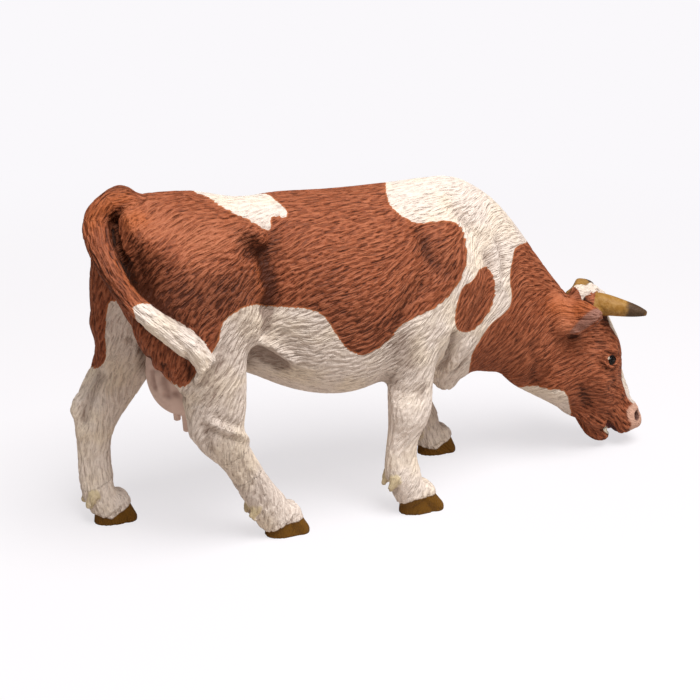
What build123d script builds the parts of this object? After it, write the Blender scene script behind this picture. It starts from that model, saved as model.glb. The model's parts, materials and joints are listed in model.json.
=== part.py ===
"""A grazing cow figurine, moulded in pieces and glued at pegs and sockets.

Millimetres. X runs forward, Y to the cow's left and Z up from the ground it stands on.
The origin is on the ground under the middle of the figurine's box.
"""

import os
from dataclasses import dataclass

from build123d import *

# Shell of the trunk
NECK_SEAM_X = 18.5
SEAM_PEG_RADIUS = 1.5
SEAM_PEG_LENGTH = 4.0
SEAM_BOSS_RADIUS = 3.2
SEAM_BOSS_PLACES = ((-27.0, 50.0), (-7.0, 56.0))

# Glued joints: a peg on the smaller piece, a socket in the larger
PEG_CLEARANCE = 0.1
LEG_PEG_RADIUS = 3.0
LEG_PEG_ROOT_Y = 15.0
LEG_PEG_TIP_Y = 6.0
NECK_PEG_WIDTH = 9.0
NECK_PEG_HEIGHT = 15.0
NECK_PEG_LENGTH = 6.0
NECK_PEG_Z = 47.0
TAIL_PEG_ROOT = (-59.2, 0.0, 74.6)
TAIL_PEG_RADIUS = 1.7
TAIL_PEG_LENGTH = 8.7
TAIL_PEG_DROP = 2.0
UDDER_PEG_RADIUS = 2.6
UDDER_PEG_LENGTH = 7.0
HORN_PEG_RADIUS = 1.3
HORN_PEG_LENGTH = 2.4
EAR_PEG_RADIUS = 0.9
EAR_PEG_LENGTH = 2.2
JAW_PEG_RADIUS = 1.2
JAW_PEG_LENGTH = 3.0

# Hoof: sole on the ground, coronet under the hair of the pastern
SOLE_LENGTH = 9.8
SOLE_WIDTH = 6.2
HOOF_TOP_LENGTH = 7.2
HOOF_TOP_WIDTH = 5.8
HOOF_TOP_Z = 3.6
HOOF_TOP_BACK = 1.3
HOOF_TOP_TILT = 24.0
CLEFT_WIDTH = 0.7
CLEFT_DEPTH = 4.4
DEWCLAW_RADIUS = 1.0
DEWCLAW_LENGTH = 2.6
DEWCLAW_SPREAD = 1.7
DEWCLAW_BACK = 3.4
DEWCLAW_RISE = 7.6
DEWCLAW_LEAN = (-0.55, 0.0, -1.0)
DEWCLAW_TAPER = 0.5

# Head
NOSE_ROUND = 1.5
EYE_RADIUS = 1.55
EYE_X = 55.3
EYE_Y = 6.6
EYE_Z = 25.3
NOSTRIL_RADIUS = 0.9
NOSTRIL_DEPTH = 1.5
NOSTRIL_X = 66.2
NOSTRIL_Y = 4.4
NOSTRIL_Z = 8.0
NOSTRIL_LEAN = (-0.55, -0.8, -0.2)

# Udder
TEAT_RADIUS = 1.05
TEAT_LENGTH = 4.6
TEAT_TAPER = 0.7
TEAT_HALF_SPREAD = 3.2
TEAT_REAR_X = -48.4
TEAT_FRONT_X = -43.6
TEAT_ROOT_Z = 29.2


@dataclass(frozen=True)
class Ring:
    """One cross-section of the trunk, neck or head, by its top and low points.

    The belt is the height of the widest place, as a share. A hollow draws the side in above or below it.
    """

    top_x: float
    top_z: float
    low_x: float
    low_z: float
    width: float
    belt: float = 0.5
    round_top: float = 0.72
    round_low: float = 0.72
    hollow_top: float = 0.0
    hollow_low: float = 0.0


@dataclass(frozen=True)
class Joint:
    """One cross-section of a limb: its middle, its depth fore and aft and its width."""

    x: float
    y: float
    z: float
    depth: float
    width: float


TRUNK_RINGS = (
    Ring(-61.2, 72.0, -61.2, 57.0, 8.0),
    Ring(-57.2, 75.8, -57.2, 47.5, 18.0, 0.54),
    Ring(-49.5, 75.2, -49.0, 41.5, 24.5, 0.57, 0.73),
    Ring(-40.0, 74.0, -39.0, 37.4, 29.4, 0.58, 0.75),
    Ring(-33.4, 73.4, -32.4, 34.4, 30.2, 0.50, 0.73, 0.74, hollow_top=1.6),
    Ring(-27.4, 73.0, -26.4, 31.2, 34.2, 0.46, 0.74, 0.73, hollow_top=0.6),
    Ring(-14.0, 72.5, -13.0, 28.2, 38.0, 0.44, 0.72, 0.74),
    Ring(0.0, 72.6, -1.0, 29.6, 32.6, 0.46, 0.71, 0.73),
    Ring(9.0, 72.9, 8.0, 27.3, 26.6, 0.48, 0.70),
    Ring(16.0, 71.9, 14.5, 23.4, 23.0, 0.50, 0.68),
    Ring(23.8, 67.4, 20.0, 25.4, 20.0, 0.52, 0.68),
    Ring(31.0, 60.0, 25.5, 25.0, 16.8, 0.50, 0.68),
    Ring(38.0, 50.9, 29.5, 23.8, 14.8, 0.48, 0.69),
    Ring(44.6, 42.8, 33.0, 20.6, 13.6, 0.46, 0.70),
)
CAVITY_RINGS = (
    Ring(-55.0, 70.6, -55.0, 55.0, 8.0),
    Ring(-46.5, 71.8, -46.0, 47.0, 16.5, 0.56),
    Ring(-33.4, 70.0, -32.6, 39.4, 22.4),
    Ring(-14.0, 69.4, -13.4, 31.6, 32.0, 0.44),
    Ring(2.0, 69.4, 1.0, 33.4, 25.0, 0.46),
    Ring(15.0, 67.6, 14.0, 34.0, 16.0),
)
HEAD_RINGS = (
    Ring(48.4, 40.0, 35.4, 18.8, 13.0, 0.46, 0.73, 0.70, hollow_low=0.4),
    Ring(53.0, 40.8, 38.6, 16.9, 14.6, 0.42, 0.72, 0.78),
    Ring(57.4, 35.2, 43.0, 14.2, 16.4, 0.46, 0.75, 0.79),
    Ring(61.0, 27.6, 47.5, 11.2, 15.8, 0.56, 0.75, 0.72, hollow_low=0.3),
    Ring(62.0, 20.6, 51.0, 9.2, 13.2, 0.54, 0.75),
    Ring(63.8, 15.2, 55.0, 8.0, 11.4, 0.50, 0.77),
    Ring(66.8, 11.2, 60.0, 5.4, 11.0, 0.50, 0.78, 0.77),
    Ring(69.4, 7.6, 64.8, 3.7, 9.4, 0.50, 0.76, 0.76),
)
JAW_RINGS = (
    Ring(50.4, 13.4, 46.6, 12.4, 7.0),
    Ring(54.2, 9.2, 51.0, 8.6, 7.4),
    Ring(57.2, 6.2, 54.0, 5.0, 7.0),
    Ring(59.4, 4.4, 56.6, 1.9, 7.2),
    Ring(60.6, 3.6, 59.2, 1.6, 5.2),
)
RIGHT_FORELEG = (
    Joint(12.0, -3.0, 66.5, 6.0, 4.0),
    Joint(9.0, -9.4, 59.0, 15.0, 9.6),
    Joint(6.0, -11.0, 50.5, 18.0, 10.4),
    Joint(1.6, -12.0, 41.5, 13.6, 9.2),
    Joint(-0.2, -12.8, 34.0, 10.6, 8.0),
    Joint(-0.6, -13.0, 26.5, 9.4, 7.6),
    Joint(-1.4, -13.0, 21.2, 7.6, 6.8),
    Joint(-2.3, -13.0, 16.0, 6.8, 5.8),
    Joint(-2.2, -13.0, 11.0, 7.6, 6.4),
    Joint(-0.6, -13.0, 6.6, 7.8, 6.8),
    Joint(1.2, -13.0, 3.6, 8.0, 6.8),
)
LEFT_FORELEG = (
    Joint(12.0, 3.0, 66.5, 6.0, 4.0),
    Joint(9.4, 9.4, 59.0, 15.0, 9.6),
    Joint(7.4, 11.0, 50.5, 18.0, 10.4),
    Joint(7.0, 12.0, 41.5, 13.6, 9.2),
    Joint(9.0, 12.8, 33.0, 10.6, 8.0),
    Joint(11.6, 13.0, 25.5, 9.4, 7.6),
    Joint(13.0, 13.0, 20.6, 7.6, 6.8),
    Joint(14.2, 13.0, 15.6, 6.8, 5.8),
    Joint(15.6, 13.0, 11.0, 7.6, 6.4),
    Joint(17.2, 13.0, 6.6, 7.8, 6.8),
    Joint(19.0, 13.0, 3.6, 8.0, 6.8),
)
RIGHT_HIND_LEG = (
    Joint(-45.6, -5.0, 68.0, 13.0, 7.0),
    Joint(-47.5, -8.6, 63.5, 21.0, 10.6),
    Joint(-48.6, -10.4, 54.5, 25.0, 12.4),
    Joint(-47.2, -12.0, 45.5, 19.6, 11.0),
    Joint(-45.2, -13.0, 38.5, 13.6, 9.0),
    Joint(-44.8, -13.4, 32.5, 11.8, 7.8),
    Joint(-44.4, -13.2, 27.4, 10.6, 7.2),
    Joint(-41.4, -12.6, 21.8, 7.4, 6.4),
    Joint(-38.8, -12.0, 17.2, 6.8, 5.8),
    Joint(-36.0, -11.4, 12.0, 7.0, 6.0),
    Joint(-33.4, -10.9, 7.8, 7.6, 6.6),
    Joint(-30.4, -10.6, 3.8, 8.0, 6.8),
)
LEFT_HIND_LEG = (
    Joint(-45.6, 5.0, 68.0, 13.0, 7.0),
    Joint(-49.0, 8.6, 63.5, 21.0, 10.6),
    Joint(-51.4, 10.4, 54.5, 23.0, 12.4),
    Joint(-53.6, 12.0, 45.5, 18.5, 11.0),
    Joint(-56.0, 13.0, 37.5, 13.6, 9.0),
    Joint(-60.0, 13.3, 31.0, 12.0, 7.8),
    Joint(-63.4, 13.0, 25.4, 10.4, 7.2),
    Joint(-64.6, 12.6, 19.8, 7.6, 6.4),
    Joint(-64.9, 12.2, 15.0, 7.0, 5.8),
    Joint(-64.9, 11.6, 10.6, 7.4, 6.2),
    Joint(-64.0, 11.0, 6.6, 7.8, 6.6),
    Joint(-62.4, 10.6, 3.6, 8.0, 6.8),
)
RIGHT_FORE_SOLE = (2.3, -13.0)
LEFT_FORE_SOLE = (20.2, 13.0)
RIGHT_HIND_SOLE = (-29.1, -10.6)
LEFT_HIND_SOLE = (-61.4, 10.6)
RIGHT_SHOULDER_PEG = (5.5, 50.0)
LEFT_SHOULDER_PEG = (7.0, 50.0)
HIP_PEG = (-47.0, 58.0)
LEGS = {
    "right_foreleg": (RIGHT_FORELEG, RIGHT_FORE_SOLE, RIGHT_SHOULDER_PEG),
    "left_foreleg": (LEFT_FORELEG, LEFT_FORE_SOLE, LEFT_SHOULDER_PEG),
    "right_hind_leg": (RIGHT_HIND_LEG, RIGHT_HIND_SOLE, HIP_PEG),
    "left_hind_leg": (LEFT_HIND_LEG, LEFT_HIND_SOLE, HIP_PEG),
}

TAIL_JOINTS = (
    Joint(-52.0, 0.0, 73.0, 5.6, 7.0),
    Joint(-57.0, 0.0, 75.2, 5.8, 6.6),
    Joint(-61.6, 0.0, 75.0, 5.8, 6.0),
    Joint(-64.2, -0.8, 71.8, 5.6, 5.2),
    Joint(-64.6, -4.4, 67.2, 5.2, 4.6),
    Joint(-63.4, -9.4, 62.4, 4.4, 4.0),
    Joint(-60.8, -14.0, 58.0, 4.0, 3.8),
    Joint(-56.0, -16.9, 53.4, 4.6, 3.6),
    Joint(-51.2, -17.6, 49.0, 4.8, 3.4),
    Joint(-48.4, -17.4, 45.4, 2.4, 2.0),
)
HORN_JOINTS = (
    Joint(52.4, 3.2, 38.4, 5.4, 5.4),
    Joint(54.2, 6.4, 39.0, 5.0, 5.0),
    Joint(57.2, 8.8, 38.5, 3.9, 3.9),
    Joint(60.0, 10.5, 37.9, 2.6, 2.6),
    Joint(61.9, 11.5, 37.4, 1.1, 1.1),
)
EAR_JOINTS = (
    Joint(45.0, 5.6, 38.2, 7.2, 4.2),
    Joint(45.4, 8.4, 38.0, 8.0, 4.6),
    Joint(46.6, 11.4, 38.8, 6.0, 3.6),
    Joint(47.8, 13.8, 39.8, 1.8, 1.4),
)
EAR_CUP_SHIFT = 1.5
EAR_CUP_SHARE = 0.74
UDDER_JOINTS = (
    Joint(-44.6, 0.0, 43.0, 17.0, 13.0),
    Joint(-46.4, 0.0, 38.0, 18.6, 15.0),
    Joint(-47.0, 0.0, 33.4, 16.0, 13.6),
    Joint(-46.8, 0.0, 29.6, 10.4, 9.4),
    Joint(-46.4, 0.0, 28.0, 4.0, 4.0),
)
FAR = 400.0


def ring_wire(ring):
    """The closed curve of a ring."""
    top = Vector(ring.top_x, 0, ring.top_z)
    low = Vector(ring.low_x, 0, ring.low_z)
    up = (top - low).normalized()
    height = (top - low).length
    half = ring.width / 2
    belt = low + up * height * ring.belt
    rise = height * (1 - ring.belt)
    drop = height * ring.belt

    def at(across, along):
        return belt + Vector(0, across, 0) + up * along

    high_side = (half * ring.round_top - ring.hollow_top, rise * ring.round_top)
    low_side = (half * ring.round_low - ring.hollow_low, -drop * ring.round_low)
    points = [
        at(0, rise),
        at(*high_side),
        at(half, 0),
        at(*low_side),
        at(0, -drop),
        at(-low_side[0], low_side[1]),
        at(-half, 0),
        at(-high_side[0], high_side[1]),
    ]
    return Wire([Edge.make_spline(points, periodic=True)])


def joint_wires(joints, upright=False):
    """Ellipses square to the limb's line, one for each joint; an upright limb's don't lean sideways."""
    middles = [Vector(j.x, j.y, j.z) for j in joints]
    wires = []
    for i, joint in enumerate(joints):
        before = middles[max(i - 1, 0)]
        after = middles[min(i + 1, len(joints) - 1)]
        along = after - before
        if upright:
            along = Vector(along.X, 0, along.Z)
        along = along.normalized()
        side = Vector(0, 1, 0) - along * along.Y
        if side.length < 0.5:
            side = Vector(1, 0, 0) - along * along.X
        plane = Plane(middles[i], x_dir=side.normalized(), z_dir=along)
        wires.append(Wire.make_ellipse(joint.width / 2, joint.depth / 2, plane))
    return wires


def loft_solid(wires):
    """A smooth solid through the wires."""
    return Solid.make_loft(wires)


def largest(shape):
    """The main solid of a boolean's result."""
    return max(shape.solids(), key=lambda solid: solid.volume)


def bar(start, end, radius):
    """A round peg from one point to another."""
    line = Vector(*end) - Vector(*start)
    return Solid.make_cylinder(radius, line.length, Plane(Vector(*start), z_dir=line))


def half_space(side):
    """A block that fills everything on one side of the middle plane: -1 right, 1 left."""
    block = Solid.make_box(FAR, FAR, FAR)
    return block.moved(Location((-FAR / 2, 0 if side > 0 else -FAR, -FAR / 2)))


def ahead_of_seam():
    """A block that fills everything in front of the neck seam."""
    return Solid.make_box(FAR, FAR, FAR).moved(Location((NECK_SEAM_X, -FAR / 2, -FAR / 2)))


def cut(shape, *tools):
    """The shape less each tool, as one solid."""
    for tool in tools:
        shape = largest(shape - tool)
    return shape


def fuse(shape, *others):
    """The shapes joined into one solid."""
    for other in others:
        shape = largest(shape + other)
    return shape


def hoof(sole):
    """A cloven hoof standing on its sole, toe forward."""
    x, y = sole
    ground = Wire.make_ellipse(SOLE_LENGTH / 2, SOLE_WIDTH / 2, Plane((x, y, 0)))
    crown = Plane((x - HOOF_TOP_BACK, y, HOOF_TOP_Z)).rotated((0, -HOOF_TOP_TILT, 0))
    body = loft_solid([ground, Wire.make_ellipse(HOOF_TOP_LENGTH / 2, HOOF_TOP_WIDTH / 2, crown)])
    cleft = Solid.make_box(SOLE_LENGTH, CLEFT_WIDTH, FAR)
    front = x + SOLE_LENGTH / 2 - CLEFT_DEPTH
    return cut(body, cleft.moved(Location((front, y - CLEFT_WIDTH / 2, -FAR / 2))))


def dewclaw(sole, fetlock_x, side):
    """One of the two small claws behind the fetlock."""
    top = Vector(fetlock_x - DEWCLAW_BACK + DEWCLAW_RADIUS, sole[1] + side * DEWCLAW_SPREAD, DEWCLAW_RISE)
    plane = Plane(top, z_dir=DEWCLAW_LEAN)
    return Solid.make_cone(DEWCLAW_RADIUS, DEWCLAW_RADIUS * DEWCLAW_TAPER, DEWCLAW_LENGTH, plane)


def leg_peg(joints, peg, extra):
    """The peg that runs inwards from the leg's thick end, or its socket."""
    side = 1 if joints[0].y > 0 else -1
    root = (peg[0], side * LEG_PEG_ROOT_Y, peg[1])
    tip = (peg[0], side * (LEG_PEG_TIP_Y - extra), peg[1])
    return bar(root, tip, LEG_PEG_RADIUS + extra)


def leg(joints, sole, peg, trunk):
    """A leg with its hoof, seated on the trunk and pegged through its wall."""
    fetlock_x = joints[-2].x
    limb = fuse(loft_solid(joint_wires(joints, upright=True)), hoof(sole))
    limb = fuse(limb, *[dewclaw(sole, fetlock_x, side) for side in (-1, 1)])
    return fuse(cut(limb, trunk), leg_peg(joints, peg, 0.0))


def neck_peg(extra):
    """The oval plug on the neck's rear face, or its socket."""
    start = Vector(NECK_SEAM_X - NECK_PEG_LENGTH - extra, 0, NECK_PEG_Z)
    plane = Plane(start, x_dir=(0, 1, 0), z_dir=(1, 0, 0))
    oval = Wire.make_ellipse(NECK_PEG_WIDTH / 2 + extra, NECK_PEG_HEIGHT / 2 + extra, plane)
    return Solid.extrude(Face(oval), Vector(2 * NECK_PEG_LENGTH, 0, 0))


def tail_peg(extra):
    """The peg on the tail's root, or its socket between the trunk's halves."""
    x, y, z = TAIL_PEG_ROOT
    tip = (x + TAIL_PEG_LENGTH + extra, y, z - TAIL_PEG_DROP)
    return bar(TAIL_PEG_ROOT, tip, TAIL_PEG_RADIUS + extra)


def udder_peg(extra):
    """The peg on top of the udder, or its socket between the trunk's halves."""
    seat = UDDER_JOINTS[1]
    tip = (seat.x, seat.y, UDDER_JOINTS[0].z + UDDER_PEG_LENGTH + extra)
    return bar((seat.x, seat.y, seat.z), tip, UDDER_PEG_RADIUS + extra)


def root_peg(joints, radius, length, extra):
    """The peg that runs on from the root of a horn or an ear, or its socket."""
    root = Vector(joints[1].x, joints[1].y, joints[1].z)
    inwards = Vector(joints[0].x, joints[0].y, joints[0].z) - root
    tip = root + inwards + inwards.normalized() * (length + extra)
    return bar(tuple(root), tuple(tip), radius + extra)


def jaw_peg(extra):
    """The peg on top of the lower jaw, or its socket in the head."""
    seat = JAW_RINGS[1]
    middle = ((seat.top_x + seat.low_x) / 2, 0, (seat.top_z + seat.low_z) / 2)
    tip = (middle[0], 0, seat.top_z + JAW_PEG_LENGTH + extra)
    return bar(middle, tip, JAW_PEG_RADIUS + extra)


def ear_body():
    """The left ear, cupped towards the front."""
    cup = [
        Joint(
            j.x + EAR_CUP_SHIFT,
            j.y + EAR_CUP_SHIFT,
            j.z - EAR_CUP_SHIFT / 2,
            j.depth * EAR_CUP_SHARE,
            j.width * EAR_CUP_SHARE,
        )
        for j in EAR_JOINTS
    ]
    return cut(loft_solid(joint_wires(EAR_JOINTS)), loft_solid(joint_wires(cup)))


def head_pair(name, body, peg_sizes, joints, head):
    """A left and a right piece pegged to the head, with the sockets the head needs for them."""
    left = (body, root_peg(joints, *peg_sizes, 0.0), root_peg(joints, *peg_sizes, PEG_CLEARANCE))
    right = [solid.mirror(Plane.XZ) for solid in left]
    pieces = {}
    sockets = []
    for side, (solid, peg, socket) in (("left", left), ("right", right)):
        pieces[f"{side}_{name}"] = fuse(cut(solid, head), peg)
        sockets.append(socket)
    return pieces, sockets


def teat(x, y):
    """One teat, hanging from the udder's floor."""
    plane = Plane((x, y, TEAT_ROOT_Z), z_dir=(0, 0, -1))
    return Solid.make_cone(TEAT_RADIUS, TEAT_RADIUS * TEAT_TAPER, TEAT_LENGTH, plane)


def nostril(side):
    """The hole of one nostril, as a tool to cut with."""
    mouth = Vector(NOSTRIL_X, side * NOSTRIL_Y, NOSTRIL_Z)
    inwards = Vector(NOSTRIL_LEAN[0], NOSTRIL_LEAN[1] * side, NOSTRIL_LEAN[2]).normalized()
    outside = mouth - inwards * NOSTRIL_DEPTH
    return bar(tuple(outside), tuple(mouth + inwards * NOSTRIL_DEPTH), NOSTRIL_RADIUS)


def trunk_half(trunk, cavity, sockets, side):
    """One half of the hollow trunk; the right half carries the seam pegs."""
    half = cut(largest(trunk & half_space(side)), cavity, *sockets)
    for x, z in SEAM_BOSS_PLACES:
        if side < 0:
            half = fuse(half, bar((x, -SEAM_PEG_LENGTH, z), (x, SEAM_PEG_LENGTH, z), SEAM_PEG_RADIUS))
        else:
            deep = (x, SEAM_PEG_LENGTH + PEG_CLEARANCE, z)
            half = cut(half, bar((x, -SEAM_PEG_LENGTH, z), deep, SEAM_PEG_RADIUS + PEG_CLEARANCE))
    return half


def main():
    """Build every piece and write one STEP file for each."""
    outer = loft_solid([ring_wire(r) for r in TRUNK_RINGS + HEAD_RINGS])
    outer = outer.fillet(NOSE_ROUND, outer.faces().sort_by(Axis.X)[-1].edges())
    trunk = cut(outer, ahead_of_seam())
    head = largest(outer & ahead_of_seam())
    sides = (("right", -1), ("left", 1))

    pieces = {name: leg(*place, outer) for name, place in LEGS.items()}
    hind = (pieces["right_hind_leg"], pieces["left_hind_leg"])
    udder = loft_solid(joint_wires(UDDER_JOINTS))
    teat_rows = (TEAT_REAR_X, TEAT_FRONT_X)
    udder = fuse(udder, *[teat(x, TEAT_HALF_SPREAD * s) for x in teat_rows for _, s in sides])
    pieces["udder"] = fuse(cut(udder, trunk, *hind), udder_peg(0.0))
    tail = cut(loft_solid(joint_wires(TAIL_JOINTS)), trunk, *hind)
    pieces["tail"] = fuse(tail, tail_peg(0.0))

    head = fuse(head, *[Solid.make_sphere(EYE_RADIUS, Plane((EYE_X, s * EYE_Y, EYE_Z))) for _, s in sides])
    head = cut(head, *[nostril(s) for _, s in sides])
    pieces["lower_jaw"] = fuse(cut(loft_solid([ring_wire(r) for r in JAW_RINGS]), head), jaw_peg(0.0))
    sockets = [jaw_peg(PEG_CLEARANCE)]
    horn_peg = (HORN_PEG_RADIUS, HORN_PEG_LENGTH)
    ear_peg = (EAR_PEG_RADIUS, EAR_PEG_LENGTH)
    for name, body, peg, joints in (
        ("horn", loft_solid(joint_wires(HORN_JOINTS)), horn_peg, HORN_JOINTS),
        ("ear", ear_body(), ear_peg, EAR_JOINTS),
    ):
        pair, holes = head_pair(name, body, peg, joints, head)
        pieces.update(pair)
        sockets += holes
    pieces["head"] = fuse(cut(head, *sockets), neck_peg(0.0))

    cavity = loft_solid([ring_wire(r) for r in CAVITY_RINGS])
    cavity = cut(cavity, *[bar((x, -FAR, z), (x, FAR, z), SEAM_BOSS_RADIUS) for x, z in SEAM_BOSS_PLACES])
    sockets = [leg_peg(joints, peg, PEG_CLEARANCE) for joints, _, peg in LEGS.values()]
    sockets += [neck_peg(PEG_CLEARANCE), tail_peg(PEG_CLEARANCE), udder_peg(PEG_CLEARANCE)]
    for name, s in sides:
        pieces[f"torso_{name}_half"] = trunk_half(trunk, cavity, sockets, s)

    os.makedirs("parts", exist_ok=True)
    for name, piece in pieces.items():
        export_step(piece, f"parts/{name}.step")
        print(name, piece.is_valid, round(piece.volume, 1))


main()
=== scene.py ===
"""Looks of a hand-painted grazing cow figurine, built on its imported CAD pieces.

The CAD pieces are joined into one skin with soft transitions, sculpted and engraved with fur, then
split again so that each visible piece stands for its own CAD piece. Millimetres are used for the
sculpture, and metres for what goes into the scene. Y is negative on the side that the camera sees.
"""

import json
import logging
import math
from dataclasses import dataclass, replace
from enum import Enum

import bpy
import numpy as np
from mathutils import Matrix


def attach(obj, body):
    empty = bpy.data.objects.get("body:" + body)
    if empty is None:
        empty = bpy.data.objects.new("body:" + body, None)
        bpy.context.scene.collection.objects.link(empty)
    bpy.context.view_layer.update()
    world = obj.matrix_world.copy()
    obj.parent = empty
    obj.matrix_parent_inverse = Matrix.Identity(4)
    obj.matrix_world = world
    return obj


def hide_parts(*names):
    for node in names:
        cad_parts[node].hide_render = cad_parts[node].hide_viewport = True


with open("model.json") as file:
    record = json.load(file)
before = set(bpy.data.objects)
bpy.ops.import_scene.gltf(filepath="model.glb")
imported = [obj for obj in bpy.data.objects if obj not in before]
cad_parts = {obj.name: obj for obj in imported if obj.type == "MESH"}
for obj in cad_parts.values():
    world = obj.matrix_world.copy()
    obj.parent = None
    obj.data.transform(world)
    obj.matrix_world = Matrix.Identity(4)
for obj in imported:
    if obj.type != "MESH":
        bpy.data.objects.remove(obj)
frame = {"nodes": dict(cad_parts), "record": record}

import openvdb
from mathutils import Vector

MM = 0.001
VOXEL = 0.27
BAND = 4.5
BOX_LOW = np.array([-75.0, -25.0, -6.0])
BOX_HIGH = np.array([76.0, 25.0, 86.0])
MIRROR = np.array([1.0, -1.0, 1.0])
SEED = 7
# How far outside an outline, in millimetres, paint still measures its distance
MARGIN = 3.0

Point = tuple[float, float, float]
Pixel = tuple[float, float]
Outline = tuple[Pixel, ...]
Colour = tuple[float, float, float]

logging.basicConfig(level=logging.INFO, format="%(relativeCreated)7d ms  %(message)s")
LOG = logging.getLogger("cow")


@dataclass(frozen=True)
class PhotoCamera:
    """The camera that took the photograph, fitted to it by its known points."""

    azimuth: float = -24.5
    elevation: float = 21.2
    distance: float = 326.0
    target: Point = (-8.9, 0.0, 35.6)
    focal: float = 1470.0
    frame: float = 700.0
    reach: float = 100.0
    sensor: float = 36.0
    clip_m: tuple[float, float] = (0.01, 20.0)

    def axes(self) -> tuple[np.ndarray, np.ndarray, np.ndarray]:
        """Unit vectors to the right, up and back towards the camera.

        Returns:
            Right, up and back.
        """
        a, e = math.radians(self.azimuth), math.radians(self.elevation)
        back = np.array([math.sin(a) * math.cos(e), -math.cos(a) * math.cos(e), math.sin(e)])
        right = np.array([math.cos(a), math.sin(a), 0.0])
        return right, np.cross(back, right), back

    def eye(self) -> np.ndarray:
        """The place of the lens."""
        return np.array(self.target) + self.axes()[2] * self.distance

    def pixel_size(self) -> float:
        """How many millimetres a pixel covers at the target."""
        return self.distance / self.focal

    def project(self, points: np.ndarray) -> np.ndarray:
        """Pixel places in the photograph of points given in millimetres.

        Args:
            points: Places in millimetres.

        Returns:
            One pixel per point.
        """
        right, up, back = self.axes()
        ray = points - self.eye()
        depth = -(ray @ back)
        half = self.frame / 2
        across, rise = self.focal * (ray @ right) / depth, self.focal * (ray @ up) / depth
        return np.stack([half + across, half - rise], 1)

    def cast(self, pixels: Outline, volume: "Volume") -> np.ndarray:
        """The points where the rays through some pixels meet a surface.

        Args:
            pixels: Places in the photograph.
            volume: The field of the surface.

        Returns:
            One point for each pixel, or the ray's nearest approach where it passes by.
        """
        right, up, back = self.axes()
        depth = np.arange(self.distance - self.reach, self.distance + self.reach, VOXEL)
        hits = []
        for u, v in pixels:
            across, down = (u - self.frame / 2) / self.focal, (v - self.frame / 2) / self.focal
            path = self.eye() + depth[:, None] * (across * right - down * up - back)
            values = volume.sample(path)
            inside = np.flatnonzero(values < 0)
            hits.append(path[inside[0] if len(inside) else values.argmin()])
        return np.array(hits)

    def place(self) -> None:
        """Put the scene's camera where the photographer's was."""
        back = self.axes()[2]
        data = bpy.data.cameras.new("photo_camera")
        data.sensor_width = self.sensor
        data.lens = self.sensor * self.focal / self.frame
        data.clip_start, data.clip_end = self.clip_m
        camera = bpy.data.objects.new("photo_camera", data)
        camera.location = Vector(self.eye()) * MM
        camera.rotation_mode = "QUATERNION"
        camera.rotation_quaternion = (-Vector(back)).to_track_quat("-Z", "Y")
        bpy.context.scene.collection.objects.link(camera)
        bpy.context.scene.camera = camera


CAMERA = PhotoCamera()


def soft_min(a: np.ndarray, b: np.ndarray, soft: float) -> np.ndarray:
    """The lower of two fields, rounded over where they are closer than soft.

    Args:
        a: One field.
        b: The other field.
        soft: Width of the transition.

    Returns:
        The joined field.
    """
    if soft <= 0:
        return np.minimum(a, b)
    near = np.maximum(soft - np.abs(a - b), 0.0) / soft
    return np.minimum(a, b) - near * near * (soft / 4)


def lattice_values(lattice: np.ndarray, places: np.ndarray) -> np.ndarray:
    """Values between the cells of a lattice, at places given in cells.

    Args:
        lattice: Values on a box of cells.
        places: Points, counted in cells.

    Returns:
        One value per place.
    """
    places = np.clip(places, 0, np.array(lattice.shape) - 1.001)
    corner = np.floor(places).astype(np.int64)
    share = (places - corner).astype(np.float32)
    share = share * share * (3 - 2 * share)
    _, rows, columns = lattice.shape
    base = (corner[:, 0] * rows + corner[:, 1]) * columns + corner[:, 2]
    flat = lattice.ravel()
    x, y, z = share.T
    total = np.zeros(len(places), np.float32)
    for i, j, k in np.ndindex(2, 2, 2):
        weight = (x if i else 1 - x) * (y if j else 1 - y) * (z if k else 1 - z)
        total += weight * flat[base + (i * rows + j) * columns + k]
    return total


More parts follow.
